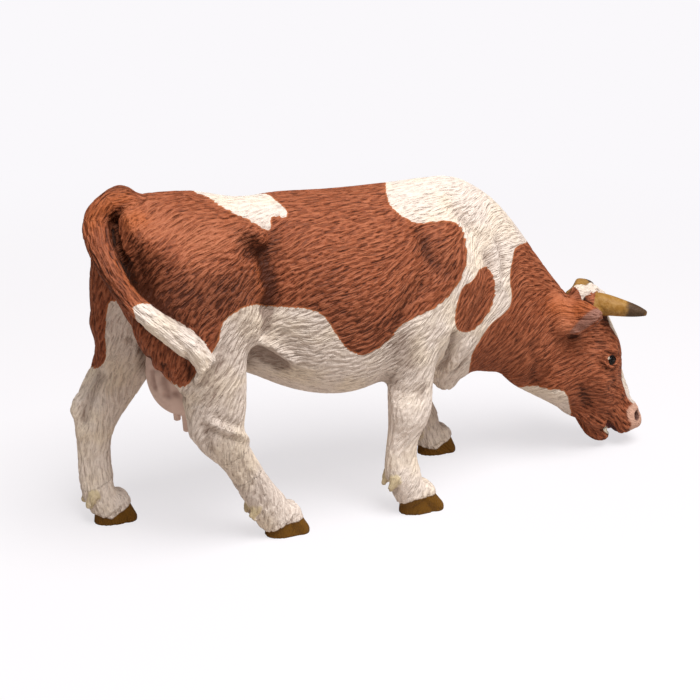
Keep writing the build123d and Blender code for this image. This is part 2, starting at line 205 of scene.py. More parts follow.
class Volume:
    """A signed distance field, in millimetres, on a box of cubic cells."""

    def __init__(self, low: np.ndarray, shape: tuple[int, ...], values: np.ndarray | None = None) -> None:
        """Make a field, empty unless values are given."""
        self.low = np.asarray(low, int)
        self.values = np.full(shape, BAND, np.float32) if values is None else values

    @classmethod
    def whole(cls) -> "Volume":
        """An empty field over the whole figurine.

        Returns:
            A field with nothing in it.
        """
        low = np.floor(BOX_LOW / VOXEL).astype(int)
        shape = np.ceil(BOX_HIGH / VOXEL).astype(int) - low + 1
        return cls(low, tuple(shape))

    @classmethod
    def of_node(cls, node: bpy.types.Object) -> "Volume":
        """The field round one CAD piece.

        Args:
            node: The CAD piece.

        Returns:
            Its field, on a box one band wider than the piece.
        """
        mesh = node.data
        mesh.calc_loop_triangles()
        points = np.empty(len(mesh.vertices) * 3, np.float32)
        mesh.vertices.foreach_get("co", points)
        points = points.reshape(-1, 3) / np.float32(MM)
        triangles = np.empty(len(mesh.loop_triangles) * 3, np.int32)
        mesh.loop_triangles.foreach_get("vertices", triangles)
        grid = openvdb.FloatGrid.createLevelSetFromPolygons(
            points,
            triangles=triangles.reshape(-1, 3).astype(np.uint32),
            transform=openvdb.createLinearTransform(VOXEL),
            halfWidth=BAND / VOXEL,
        )
        low = np.floor((points.min(0) - BAND) / VOXEL).astype(int)
        shape = np.ceil((points.max(0) + BAND) / VOXEL).astype(int) - low + 1
        values = np.full(tuple(shape), BAND, np.float32)
        grid.copyToArray(values, ijk=tuple(int(i) for i in low))
        return cls(low, tuple(shape), values)

    def window(self, low: np.ndarray, shape: tuple[int, ...]) -> tuple[slice, ...]:
        """The part of this field that a box of cells covers."""
        start = np.asarray(low) - self.low
        return tuple(slice(int(s), int(s + n)) for s, n in zip(start, shape))

    def join(self, other: "Volume", soft: float) -> None:
        """Add another field, with a soft transition of the given width."""
        part = self.window(other.low, other.values.shape)
        self.values[part] = soft_min(self.values[part], other.values, soft)

    def sample(self, points: np.ndarray) -> np.ndarray:
        """Values at the nearest cells, and the band's width outside the box.

        Args:
            points: Places in millimetres.

        Returns:
            One value per point.
        """
        cell = np.rint(points / VOXEL).astype(int) - self.low
        inside = np.all((cell >= 0) & (cell < self.values.shape), axis=1)
        found = np.full(len(points), BAND, np.float32)
        i, j, k = cell[inside].T
        found[inside] = self.values[i, j, k]
        return found

    def mesh(self) -> tuple[np.ndarray, np.ndarray]:
        """Points and quads of the surface.

        Returns:
            Points in millimetres, and four point numbers per face.
        """
        grid = openvdb.FloatGrid(BAND)
        grid.copyFromArray(self.values, ijk=tuple(int(i) for i in self.low))
        grid.transform = openvdb.createLinearTransform(VOXEL)
        points, quads = grid.convertToQuads(0.0)
        return points.astype(float), quads.astype(int)


class Action(Enum):
    """What a rod does to the volume."""

    ADD = "add"
    CARVE = "carve"


@dataclass(frozen=True)
class Rod:
    """A round rod between two points, with a radius at each end; a paired one is there on both sides."""

    start: Point
    end: Point
    radii: tuple[float, float]
    soft: float = 1.5
    action: Action = Action.ADD
    paired: bool = True

    def mirrored(self) -> "Rod":
        """The same rod on the cow's other side."""
        start, end = ((x, -y, z) for x, y, z in (self.start, self.end))
        return Rod(start, end, self.radii, self.soft, self.action)

    def distance(self, points: np.ndarray) -> np.ndarray:
        """Signed distance of points, in an array whose last axis is X, Y, Z.

        Args:
            points: Places in millimetres.

        Returns:
            Distances, negative inside the rod.
        """
        start, line = np.array(self.start), np.array(self.end) - np.array(self.start)
        away = points - start
        share = np.clip((away @ line) / max(line @ line, 1e-9), 0.0, 1.0)
        radius = self.radii[0] + (self.radii[1] - self.radii[0]) * share
        return np.linalg.norm(away - share[..., None] * line, axis=-1) - radius

    def press_into(self, volume: Volume) -> None:
        """Add this rod to the volume, or carve it out.

        Args:
            volume: The field to change.
        """
        reach = max(self.radii) + self.soft + 2 * VOXEL
        ends = np.array([self.start, self.end])
        low = np.maximum(np.floor((ends.min(0) - reach) / VOXEL).astype(int), volume.low)
        high = np.ceil((ends.max(0) + reach) / VOXEL).astype(int)
        high = np.minimum(high, volume.low + np.array(volume.values.shape) - 1)
        cells = np.stack(np.meshgrid(*[np.arange(a, b + 1) for a, b in zip(low, high)], indexing="ij"), -1)
        rod = self.distance(cells * VOXEL).astype(np.float32)
        part = volume.window(low, rod.shape)
        if self.action is Action.ADD:
            volume.values[part] = soft_min(volume.values[part], rod, self.soft)
        else:
            volume.values[part] = -soft_min(-volume.values[part], rod, self.soft)


def bump(start: Point, end: Point, radii: tuple[float, float], soft: float = 1.5, paired: bool = True) -> Rod:
    """A swelling on the cow."""
    return Rod(start, end, radii, soft, Action.ADD, paired)


def dent(start: Point, end: Point, radii: tuple[float, float], soft: float = 1.5, paired: bool = True) -> Rod:
    """A hollow in the cow."""
    return Rod(start, end, radii, soft, Action.CARVE, paired)


def gap_to_path(points: np.ndarray, path: np.ndarray) -> np.ndarray:
    """Distance of points from a line through several places.

    Args:
        points: The points.
        path: Corners of the line.

    Returns:
        One distance per point.
    """
    nearest = np.full(len(points), np.inf)
    for start, end in zip(path[:-1], path[1:]):
        line, away = end - start, points - start
        share = np.clip(away @ line / max(line @ line, 1e-9), 0.0, 1.0)
        nearest = np.minimum(nearest, np.linalg.norm(away - share[:, None] * line, axis=1))
    return nearest


@dataclass(frozen=True)
class Stroke:
    """A ridge, or a groove where its height is negative, drawn on the skin along the photograph's pixels."""

    line: Outline
    width: float
    height: float
    paired: bool = True

    def heights(self, skin: "Skin") -> np.ndarray:
        """How far this stroke lifts each point of the skin.

        Args:
            skin: The surface.

        Returns:
            One height per point, in millimetres.
        """
        path = CAMERA.cast(self.line, skin.volume)
        lift = np.zeros(len(skin.points))
        for each in (path, path * MIRROR) if self.paired else (path,):
            reach = 3 * self.width
            near = np.all((skin.points > each.min(0) - reach) & (skin.points < each.max(0) + reach), axis=1)
            lift[near] += self.height * np.exp(-((gap_to_path(skin.points[near], each) / self.width) ** 2))
        return lift


def alone(*items: Rod | Stroke) -> tuple[Rod | Stroke, ...]:
    """Rods or strokes that are on one side of the cow only."""
    return tuple(replace(item, paired=False) for item in items)


@dataclass(frozen=True)
class Lie:
    """The lie of the fur at one place on the cow's side: X and Z in millimetres, slope in degrees."""

    x: float
    z: float
    slope: float


@dataclass(frozen=True)
class SubAssembly:
    """A part of the cow with its own forms, relief, fur and paint.

    The dark places are painted shade, and those with a negative height are painted highlights. Orange places
    are airbrushed. Their height is their strength.
    """

    lines: tuple[Stroke, ...] = ()
    fur: tuple[Lie, ...] = ()
    # Painted shade, and painted highlights where the height is negative.
    shade_and_highlight_places: tuple[Stroke, ...] = ()
    orange_places: tuple[Stroke, ...] = ()

    def forms(self) -> tuple[Rod, ...]:
        """Rods that shape the volume."""
        return ()

    def relief(self) -> tuple[Stroke, ...]:
        """Ridges and grooves of the skin."""
        return self.lines

    def dress(self, coat: "Coat") -> None:
        """Lay this part's paint."""

    def trim(self, coat: "Coat") -> None:
        """Redraw the brown on this part."""


@dataclass(frozen=True)
class Trunk(SubAssembly):
    """Shoulder, ribs, flank, hips and rump, with the coat's large patches."""

    shoulder: tuple[Rod, ...] = (
        bump((13.6, -8.8, 51.0), (8.6, -10.6, 43.0), (4.4, 4.2), 3.0),
        bump((-4.6, -12.4, 42.0), (-4.0, -13.0, 38.6), (2.2, 1.8), 2.0),
    )
    hips: tuple[Rod, ...] = (
        bump((-36.6, -11.2, 69.0), (-34.6, -12.2, 68.0), (2.2, 2.0), 3.0),
        bump((-57.6, -5.0, 70.6), (-59.6, -5.4, 67.0), (2.0, 1.8), 2.4),
        bump((-53.0, 0.0, 73.2), (-47.0, 0.0, 73.0), (2.6, 2.6), 2.5, paired=False),
    )
    brisket: tuple[Rod, ...] = (
        dent((17.8, -6.0, 23.8), (17.8, 6.0, 23.8), (1.7, 1.7), 1.2, paired=False),
        bump((13.2, -3.0, 25.3), (14.2, -3.0, 25.1), (1.7, 1.7), 1.5),
    )
    flank_lines: tuple[Stroke, ...] = (
        Stroke(((249, 241), (260, 256), (266, 275), (268, 290), (267, 304)), 2.6, -0.85),
        Stroke(((254, 262), (257, 275), (260, 290)), 1.3, 0.5),
        Stroke(((266, 312), (266, 322), (264, 334)), 1.3, -0.8),
        Stroke(((263, 341), (272, 345), (282, 352), (293, 360)), 1.1, 0.95),
        Stroke(((272, 330), (284, 336), (296, 346)), 2.6, -0.35),
        Stroke(((257, 351), (266, 357), (280, 365)), 2.2, -1.3, paired=False),
    )
    shoulder_lines: tuple[Stroke, ...] = (
        Stroke(((418, 231), (425, 246), (432, 262), (446, 272)), 2.0, -0.5),
        Stroke(((442, 238), (450, 252), (454, 266)), 2.6, 0.35),
        Stroke(((423, 284), (409, 297), (402, 310), (398, 322)), 1.9, -0.55),
        Stroke(((436, 288), (424, 304), (416, 320)), 4.0, 0.8),
        Stroke(((460, 203), (470, 216), (478, 232), (484, 248)), 1.4, 0.6),
        Stroke(((454, 209), (461, 218), (467, 227)), 1.3, -0.4),
    )
    rump_lines: tuple[Stroke, ...] = (
        Stroke(((133, 238), (139, 264), (146, 288)), 1.9, -0.5),
        Stroke(((246, 314), (254, 323), (255, 338)), 3.2, 0.75),
        Stroke(((100, 191), (118, 186), (134, 188)), 3.0, -0.6, paired=False),
    )
    # Painted shade on the thigh, the flank hollow, the shoulder grooves, the armpit and the lower ribs; the
    # negative strokes are painted highlights on the upper rump and over the hip hollow.
    shade_and_highlight_places: tuple[Stroke, ...] = (
        Stroke(((152, 268), (175, 292), (205, 300), (232, 290)), 6.0, 0.6),
        Stroke(((140, 222), (172, 238), (212, 244)), 5.5, -0.45),
        Stroke(((150, 300), (185, 335)), 4.0, 0.3),
        Stroke(((262, 248), (268, 270), (269, 300)), 2.4, 0.22),
        Stroke(((424, 246), (432, 262), (446, 271)), 2.0, 0.28),
        Stroke(((420, 286), (407, 299), (399, 320)), 2.0, 0.3),
        Stroke(((325, 305), (350, 328), (378, 335)), 6.0, 0.3),
        Stroke(((243, 240), (256, 248)), 2.0, -0.3),
        Stroke(((270, 352), (300, 362)), 4.0, 0.2, paired=False),
        Stroke(((398, 342), (408, 362)), 3.4, 0.72),
        Stroke(((430, 250), (450, 272)), 5.0, 0.12),
        Stroke(((270, 322), (300, 340)), 5.0, 0.2),
    )
    orange_places: tuple[Stroke, ...] = (
        Stroke(((128, 222), (140, 218)), 2.0, 0.5),
        Stroke(((258, 270), (261, 296)), 1.2, 0.4),
    )
    right_brown: Outline = (
        (40, 120), (384, 120), (385, 183), (386, 193), (391, 208), (404, 218), (419, 224), (439, 221),
        (454, 222), (463, 229), (466, 243), (467, 258), (464, 274), (457, 285), (452, 293), (441, 303),
        (428, 312), (415, 317), (398, 327), (391, 339), (381, 347), (368, 354), (361, 356), (347, 350),
        (339, 338), (332, 327), (324, 316), (313, 310), (301, 308), (286, 307), (264, 306), (257, 304),
        (245, 306), (232, 314), (221, 325), (220, 339), (214, 350), (209, 357), (202, 364), (193, 378),
        (187, 386), (179, 388), (157, 372), (140, 357), (124, 338), (111, 320), (108, 303), (40, 290),
    )
    right_back_white: Outline = (
        (203, 130), (205, 191), (214, 203), (230, 211), (245, 218), (257, 225), (268, 231), (271, 227),
        (270, 219), (275, 215), (286, 218), (288, 212), (279, 203), (266, 192), (264, 130),
    )
    right_shoulder_brown: Outline = (
        (486, 266), (490, 270), (494, 277), (496, 289), (494, 302), (487, 315), (478, 326), (470, 332),
        (462, 332), (456, 328), (455, 315), (458, 299), (462, 286), (474, 280), (479, 270),
    )
    left_flank_brown: Outline = (
        (-27, 90), (0, 90), (0.5, 71), (-2, 64), (4, 58), (9, 51), (6, 44), (-2, 41), (-9, 35), (-20, 36),
        (-26, 45), (-33, 49), (-36, 59), (-30, 68), (-27, 74),
    )
    left_rump_brown: Outline = (
        (-90, 95), (-41.5, 95), (-41.5, 75), (-45, 66), (-41, 57), (-46, 48), (-54, 44), (-57, 37),
        (-66, 35), (-90, 38),
    )
    left_shoulder_brown: Outline = ((12, 59), (17, 57), (18.5, 49), (14, 41), (10, 44), (8.5, 52))
    fur: tuple[Lie, ...] = (
        Lie(-50, 73, 18), Lie(-40, 71, 14), Lie(-57, 69, 35), Lie(-50, 64, 32), Lie(-42, 63, 30),
        Lie(-30, 68, 12), Lie(-30, 58, 30), Lie(-27, 48, 18), Lie(-15, 69, 4), Lie(-16, 58, 12),
        Lie(-16, 47, 17), Lie(-4, 66, 14), Lie(-4, 56, 24), Lie(-5, 46, 30), Lie(-24, 38, 2),
        Lie(-12, 34, 8), Lie(-3, 36, 24), Lie(-30, 41, -14), Lie(4, 69, 10), Lie(7, 62, 40),
        Lie(11, 56, 48), Lie(5, 52, 46), Lie(15, 62, 52), Lie(14, 50, 46), Lie(4, 44, 58), Lie(11, 42, 60),
        Lie(13, 70, -4),
    )

    def forms(self) -> tuple[Rod, ...]:
        """Rods that shape the volume."""
        return self.shoulder + self.hips + self.brisket

    def relief(self) -> tuple[Stroke, ...]:
        """Ridges and grooves of the skin."""
        return self.flank_lines + self.shoulder_lines + self.rump_lines

    def dress(self, coat: "Coat") -> None:
        """Lay the large brown patches of both sides.

        Args:
            coat: The coat to paint.
        """
        right = np.minimum(coat.seen(self.right_brown), -coat.seen(self.right_back_white))
        coat.lay("brown_right", np.maximum(right, coat.seen(self.right_shoulder_brown)))
        for outline in (self.left_flank_brown, self.left_rump_brown, self.left_shoulder_brown):
            coat.lay("brown_left", coat.drawn(outline))


@dataclass(frozen=True)
class Neck(SubAssembly):
    """The neck with its folds, dewlap and brown front."""

    lines: tuple[Stroke, ...] = (
        Stroke(((484, 230), (493, 249), (496, 268), (497, 284)), 1.2, 0.75),
        Stroke(((479, 238), (485, 253), (488, 266)), 1.2, -0.6),
        Stroke(((497, 242), (502, 258), (503, 274)), 1.3, -0.55),
        Stroke(((454, 336), (449, 352), (441, 369)), 1.3, -0.8),
        Stroke(((465, 345), (452, 367), (443, 376)), 1.4, 0.7),
        Stroke(((464, 361), (459, 367), (454, 372)), 1.0, -0.8),
        Stroke(((446, 329), (443, 345), (440, 356)), 1.5, 0.5),
        Stroke(((533, 348), (535, 361), (533, 375), (536, 383)), 1.6, -0.6),
    )
    right_brown: Outline = (
        (530, 150), (529, 238), (527, 242), (518, 245), (514, 249), (512, 261), (510, 271), (510, 283),
        (512, 292), (511, 304), (506, 311), (494, 321), (486, 330), (478, 343), (472, 352), (470, 364),
        (467, 380), (470, 450), (700, 560), (700, 150),
    )
    right_throat_white: Outline = (
        (490, 391), (519, 387), (536, 385), (547, 389), (563, 390), (568, 396), (569, 406), (571, 414),
        (560, 440), (480, 420),
    )
    left_brown: Outline = (
        (31, 90), (31, 60), (26, 53), (27, 44), (22, 37), (20, 29), (22, 8), (90, -10), (90, 90),
    )
    left_throat_white: Outline = ((17, 27), (30, 29), (38, 27), (41, 20), (38, 8), (16, 10))
    brown_from_x: float = 15.0
    fur: tuple[Lie, ...] = (
        Lie(18, 67, 30), Lie(22, 60, 52), Lie(23, 51, 30), Lie(22, 42, 44), Lie(19, 33, 58),
        Lie(15, 27, 64), Lie(27, 62, -6), Lie(27, 53, 10), Lie(31, 57, -22), Lie(36, 50, -26),
        Lie(42, 44, -22), Lie(29, 45, 26), Lie(31, 37, 44), Lie(27, 31, 54), Lie(36, 41, 18),
        Lie(36, 33, 44), Lie(35, 25, 56), Lie(47, 38, -8),
    )

    def dress(self, coat: "Coat") -> None:
        """Lay the brown of the neck and head, with the white throat.

        Args:
            coat: The coat to paint.
        """
        ahead = coat.skin.points[:, 0] - self.brown_from_x
        right = np.minimum(coat.seen(self.right_brown), -coat.seen(self.right_throat_white))
        left = np.minimum(coat.drawn(self.left_brown), -coat.drawn(self.left_throat_white))
        coat.lay("brown_right", np.minimum(right, ahead))
        coat.lay("brown_left", np.minimum(left, ahead))


@dataclass(frozen=True)
class Face(SubAssembly):
    """Poll, brow, cheeks and the white blaze."""

    bones: tuple[Rod, ...] = (
        bump((52.4, -6.4, 28.2), (56.6, -5.6, 28.4), (1.5, 1.2), 1.8),
        bump((54.0, -5.9, 19.4), (60.0, -5.0, 14.8), (1.3, 1.1), 2.2),
        dent((50.8, -9.4, 33.6), (49.6, -9.2, 30.2), (1.6, 1.4), 2.5),
        dent((57.0, -8.2, 17.6), (60.8, -6.9, 12.0), (1.2, 1.0), 2.4),
        bump((52.4, -3.9, 10.0), (56.4, -3.4, 7.4), (1.9, 1.7), 0.9),
        dent((51.2, 0.0, 4.7), (46.8, -6.5, 8.4), (3.1, 3.1), 0.6),
        bump((50.6, -4.4, 40.0), (51.2, -6.4, 38.0), (1.2, 1.2), 0.8, paired=False),
        bump((61.8, 0.0, 20.4), (64.5, 0.0, 13.4), (1.4, 1.6), 2.4, paired=False),
    )
    poll: tuple[Rod, ...] = (
        bump((50.8, 0.0, 40.0), (55.8, 0.0, 38.6), (2.4, 2.1), 1.8, paired=False),
        bump((52.6, -2.4, 40.6), (56.4, -1.4, 37.4), (1.0, 0.8), 0.7),
        bump((54.2, -0.8, 41.2), (57.8, -0.4, 36.6), (1.0, 0.7), 0.7),
    )
    lines: tuple[Stroke, ...] = (
        Stroke(((547, 356), (551, 366), (555, 375)), 4.0, 0.5),
        Stroke(((577, 389), (584, 396), (591, 403)), 2.4, -0.4),
        Stroke(((594, 334), (600, 341), (604, 347)), 2.0, -0.45),
        Stroke(((594, 374), (606, 389), (613, 403)), 1.5, 0.35),
        Stroke(((600, 361), (605, 368), (615, 368)), 0.7, -0.3),
        Stroke(((602, 352), (609, 349), (616, 352)), 0.7, 0.35),
        Stroke(((583, 386), (586, 403), (592, 416)), 1.2, -0.3),
        Stroke(((602, 424), (597, 421), (592, 418)), 0.6, -0.45),
    )
    blaze_heights: tuple[float, ...] = (8.0, 12.0, 16.0, 20.0, 24.0, 27.0, 30.0, 33.0, 36.0, 39.0, 42.0)
    blaze_half_widths: tuple[float, ...] = (4.0, 4.7, 4.4, 3.8, 2.6, 2.8, 5.2, 5.4, 4.3, 3.7, 3.5)
    blaze_facing: Point = (0.87, 0.0, 0.49)
    blaze_turn: float = 0.15
    blaze_from_x: float = 49.5
    tuft_from_z: float = 37.0
    tuft_back: float = 0.6
    fur: tuple[Lie, ...] = (
        Lie(41, 33, 22), Lie(43, 26, 8), Lie(41, 20, 36), Lie(48, 27, 6), Lie(48, 20, 4), Lie(52, 35, -6),
        Lie(52, 30, 12), Lie(56, 32, -48), Lie(59, 26, -64), Lie(52, 23, -10), Lie(56, 19, -24),
        Lie(52, 15, -8), Lie(57, 13, 12), Lie(60, 16, -52), Lie(62, 10, -30), Lie(65, 8, -52),
        Lie(50, 11, -38), Lie(57, 4, -60), Lie(54, 38, -30),
    )

    def forms(self) -> tuple[Rod, ...]:
        """Rods that shape the volume."""
        return self.bones + self.poll

    def dress(self, coat: "Coat") -> None:
        """Lay the white stripe down the face and the white tuft on the poll.

        Args:
            coat: The coat to paint.
        """
        ahead = coat.skin.normals @ np.array(self.blaze_facing) > self.blaze_turn
        width = np.interp(coat.folded[:, 2], self.blaze_heights, self.blaze_half_widths)
        width = width - self.tuft_back * ~ahead
        shown = ahead | (coat.folded[:, 2] > self.tuft_from_z)
        on_face = coat.skin.points_of("head") & (coat.folded[:, 0] > self.blaze_from_x) & shown
        coat.lay("blaze", np.where(on_face, width + coat.folded[:, 1], -MARGIN))


@dataclass(frozen=True)
class Eyes(SubAssembly):
    """Glossy dark eyes between lids."""

    place: Point = (55.4, -6.85, 25.3)
    radius: float = 1.55
    socket: Rod = dent((55.6, -9.6, 25.3), (56.0, -9.5, 25.2), (2.3, 2.3), 1.2)
    lid_facing: Point = (0.2, -0.95, 0.2)
    lid_ahead: float = 0.75
    lid_ring: float = 1.8
    lid_radius: float = 0.5
    lid_steps: int = 10
    glint_offset: Point = (-0.95, -0.95, 0.85)
    glint_radius: float = 0.42
    paint_over: float = 0.12

    def lids(self) -> tuple[Rod, ...]:
        """A ring of short rods round the eyeball.

        Returns:
            The rods of one eye.
        """
        facing = Vector(self.lid_facing).normalized()
        level = facing.cross((0, 0, 1)).normalized()
        middle = Vector(self.place) + facing * self.lid_ahead
        turns = [2 * math.pi * i / self.lid_steps for i in range(self.lid_steps + 1)]
        steep = level.cross(facing)
        rim = [middle + (level * math.cos(a) + steep * math.sin(a)) * self.lid_ring for a in turns]
        radii = (self.lid_radius, self.lid_radius)
        return tuple(bump(tuple(a), tuple(b), radii, 0.5) for a, b in zip(rim, rim[1:]))

    def forms(self) -> tuple[Rod, ...]:
        """Sockets, lids and eyeballs."""
        ball = bump(self.place, self.place, (self.radius, self.radius), 0.1)
        return (self.socket, *self.lids(), ball)

    def dress(self, coat: "Coat") -> None:
        """Lay the dark eyeballs and a painted highlight at their upper back corners.

        Args:
            coat: The coat to paint.
        """
        away = coat.folded - np.array(self.place)
        coat.lay("eye", self.radius + self.paint_over - np.linalg.norm(away, axis=1))
        # A painted highlight on each eye.
        coat.lay("glint", self.glint_radius - np.linalg.norm(away - np.array(self.glint_offset), axis=1))


@dataclass(frozen=True)
class Muzzle(SubAssembly):
    """Nose, nostrils, lips, mouth, tongue and lower teeth."""

    lips: tuple[Rod, ...] = (
        bump((64.0, -3.6, 6.6), (67.0, -3.0, 5.6), (1.9, 1.7), 1.4),
        bump((66.4, -1.2, 8.6), (66.8, 0.0, 5.0), (1.9, 1.9), 1.2),
        bump((64.4, -4.2, 9.6), (66.6, -3.4, 9.4), (0.7, 0.6), 0.9),
        bump((64.3, -5.0, 8.8), (65.0, -4.9, 6.6), (0.6, 0.6), 0.8),
    )
    nostril: Rod = dent((67.0, -6.0, 8.7), (65.8, -4.0, 7.5), (1.3, 1.1), 0.4)
    tongue: Rod = bump((57.4, 0.2, 5.8), (60.2, -1.8, 5.5), (1.4, 1.0), 0.4, paired=False)
    teeth: Rod = bump((58.8, -2.5, 4.9), (59.5, -2.0, 3.0), (0.5, 0.5), 0.3)
    gape: Rod = Rod((57.6, -3.6, 6.6), (61.6, -3.0, 4.6), (0.8, 0.8))
    pad: Outline = (
        (635, 402), (627, 409), (627, 417), (632, 424), (629, 431), (632, 440), (700, 445), (700, 385),
        (645, 395),
    )
    nostril_edge: float = 0.1
    tongue_edge: float = 0.25
    teeth_edge: float = 0.2
    pad_from_x: float = 58.0
    pad_below_z: float = 14.0

    def forms(self) -> tuple[Rod, ...]:
        """Lips, nostrils, tongue and teeth."""
        return (*self.lips, self.nostril, self.tongue, self.teeth)

    def dress(self, coat: "Coat") -> None:
        """Lay the bare nose, the dark nostrils and mouth, the tongue and the teeth.

        Args:
            coat: The coat to paint.
        """
        low = (coat.folded[:, 2] < self.pad_below_z) & (coat.folded[:, 0] > self.pad_from_x)
        here = low & coat.skin.points_of("head")
        coat.lay("nose", np.where(here, coat.seen(self.pad, folded=True), -MARGIN))
        coat.lay("dark", self.nostril_edge - self.nostril.distance(coat.folded))
        coat.lay("dark", -self.gape.distance(coat.folded))
        coat.lay("tongue", self.tongue_edge - self.tongue.distance(coat.skin.points))
        coat.lay("teeth", self.teeth_edge - self.teeth.distance(coat.folded))


@dataclass(frozen=True)
class Ears(SubAssembly):
    """Ears with a mauve hollow side that shows along their lower rim."""

    rim: Outline = (
        (568, 334), (573, 327), (585, 314), (596, 307), (603, 311), (601, 318), (589, 327), (577, 334),
    )
    lip: Rod = bump((44.2, -10.0, 35.2), (48.2, -12.6, 38.8), (0.6, 0.6), 0.5)
    root: Rod = bump((41.6, -5.4, 40.4), (42.0, -7.2, 36.0), (2.0, 1.8), 3.2)
    # A painted highlight that lifts the painted shade out of the crease at the ear's root.
    shade_and_highlight_places: tuple[Stroke, ...] = (Stroke(((562, 298), (565, 314), (567, 330)), 2.4, -0.7),)
    orange_places: tuple[Stroke, ...] = (Stroke(((556, 306), (572, 311), (588, 306)), 2.4, 0.6),)
    hollow_facing: Point = (0.72, -0.42, -0.55)
    hollow_turn: float = 0.6
    hollow_slope: float = 2.0
    axis: Point = (0.35, -1.0, 0.2)

    def forms(self) -> tuple[Rod, ...]:
        """The raised lips of the rims, and the roots that pass over into the neck."""
        return (self.lip, self.root)

    def dress(self, coat: "Coat") -> None:
        """Lay the mauve of the rim and of the hollow side.

        Args:
            coat: The coat to paint.
        """
        facing = (coat.skin.normals * coat.side_signs) @ np.array(self.hollow_facing)
        bare = np.maximum(coat.seen(self.rim, folded=True), (facing - self.hollow_turn) * self.hollow_slope)
        coat.lay("blush", np.where(coat.skin.points_of("right_ear", "left_ear"), bare, -MARGIN))


@dataclass(frozen=True)
class Horns(SubAssembly):
    """Tapered horns with a dark band behind the tip."""

    tip: Point = (62.2, -11.6, 37.3)
    bare_length: float = 13.0
    far_base: Rod = dent((49.4, 6.5, 42.6), (52.3, 11.0, 40.8), (3.6, 3.6), 0.8, paired=False)

    def forms(self) -> tuple[Rod, ...]:
        """The narrow base of the left horn."""
        return (self.far_base,)

    def from_tip(self, points: np.ndarray) -> np.ndarray:
        """How far back from the nearer tip points lie."""
        return np.linalg.norm(points * (1, 0, 1) + np.abs(points) * (0, -1, 0) - np.array(self.tip), axis=1)

    def dress(self, coat: "Coat") -> None:
        """Measure how far back from the tips each point lies."""
        coat.values["tip"] = self.from_tip(coat.skin.points)


@dataclass(frozen=True)
class Tail(SubAssembly):
    """A tail that hangs round the right thigh, with a white switch."""

    path: tuple[Point, ...] = (
        (-52.0, 0.0, 73.0), (-57.0, 0.0, 75.2), (-61.6, 0.0, 75.0), (-64.2, -0.8, 71.8),
        (-64.6, -4.4, 67.2), (-63.4, -9.4, 62.4), (-60.8, -14.0, 58.0), (-56.0, -16.9, 53.4),
        (-51.2, -17.6, 49.0), (-48.4, -17.4, 45.4),
    )
    locks: tuple[Rod, ...] = alone(
        bump((-58.6, -16.2, 54.8), (-48.2, -17.2, 44.8), (1.0, 0.8), 0.9),
        bump((-56.4, -16.4, 54.6), (-46.8, -17.6, 45.6), (1.0, 0.8), 0.9),
        bump((-55.4, -16.6, 52.4), (-50.6, -17.0, 47.4), (1.5, 1.5), 0.8),
        bump((-50.4, -17.4, 48.4), (-48.9, -17.6, 44.8), (1.5, 1.2), 0.7),
        bump((-48.9, -17.6, 44.8), (-50.2, -16.9, 41.4), (1.2, 0.6), 0.7),
    )
    gap: tuple[Rod, ...] = alone(
        dent((-60.4, -2.6, 71.6), (-61.2, -4.8, 68.2), (1.5, 1.3), 0.6),
        dent((-61.2, -4.8, 68.2), (-60.7, -8.4, 63.6), (1.2, 0.5), 0.8),
    )
    # Painted shade beside the tail and along the switch's left edge; the negative strokes are painted
    # highlights on the switch and on the rump beside the tail gap.
    shade_and_highlight_places: tuple[Stroke, ...] = alone(
        Stroke(((96, 264), (118, 300)), 2.2, 0.35),
        Stroke(((138, 310), (165, 334), (190, 348), (204, 362)), 2.4, -0.7),
        Stroke(((186, 360), (188, 370), (193, 380)), 0.9, 0.5),
        Stroke(((120, 246), (130, 266), (140, 284)), 1.4, -0.3),
    )
    lines: tuple[Stroke, ...] = alone(
        Stroke(((199, 343), (206, 357), (207, 371), (200, 384)), 0.7, -0.55),
        Stroke(((193, 346), (201, 360), (202, 372), (198, 379)), 1.2, 0.7),
        Stroke(((186, 355), (188, 368), (192, 379)), 0.7, -0.45),
        Stroke(((150, 318), (172, 336), (188, 350)), 0.6, -0.35),
    )
    orange_places: tuple[Stroke, ...] = alone(
        Stroke(((92, 222), (104, 206), (124, 197)), 2.2, 0.55),
        Stroke(((116, 262), (136, 294)), 1.0, 0.5),
    )
    switch: Outline = ((131, 309), (140, 303), (160, 306), (230, 340), (225, 395), (185, 395), (150, 345))

    def forms(self) -> tuple[Rod, ...]:
        """The gap between tail and rump, and the locks of the switch."""
        return self.gap + self.locks

    def trim(self, coat: "Coat") -> None:
        """Keep the tail brown down to its white switch."""
        coat.set_brown(coat.skin.points_of("tail"), -coat.seen(self.switch))


@dataclass(frozen=True)
class Udder(SubAssembly):
    """The udder's folds."""

    lines: tuple[Stroke, ...] = (
        Stroke(((150, 358), (152, 372), (155, 386)), 0.8, -0.5),
        Stroke(((163, 366), (165, 378), (168, 390)), 0.8, -0.45),
        Stroke(((157, 362), (159, 376), (162, 390)), 0.9, 0.35),
        Stroke(((176, 394), (179, 395), (182, 396)), 0.8, -0.4),
        Stroke(((165, 395), (168, 396)), 0.7, -0.35),
    )
    # Painted shade in the udder's folds.
    shade_and_highlight_places: tuple[Stroke, ...] = (
        Stroke(((150, 356), (152, 372), (155, 388)), 0.8, 0.5),
        Stroke(((163, 364), (165, 378), (168, 392)), 0.8, 0.45),
        Stroke(((176, 394), (182, 397)), 0.9, 0.6),
        Stroke(((165, 395), (169, 397)), 0.8, 0.5),
    )

    def trim(self, coat: "Coat") -> None:
        """Keep brown off the udder."""
        coat.set_brown(coat.skin.points_of("udder"), -MARGIN)


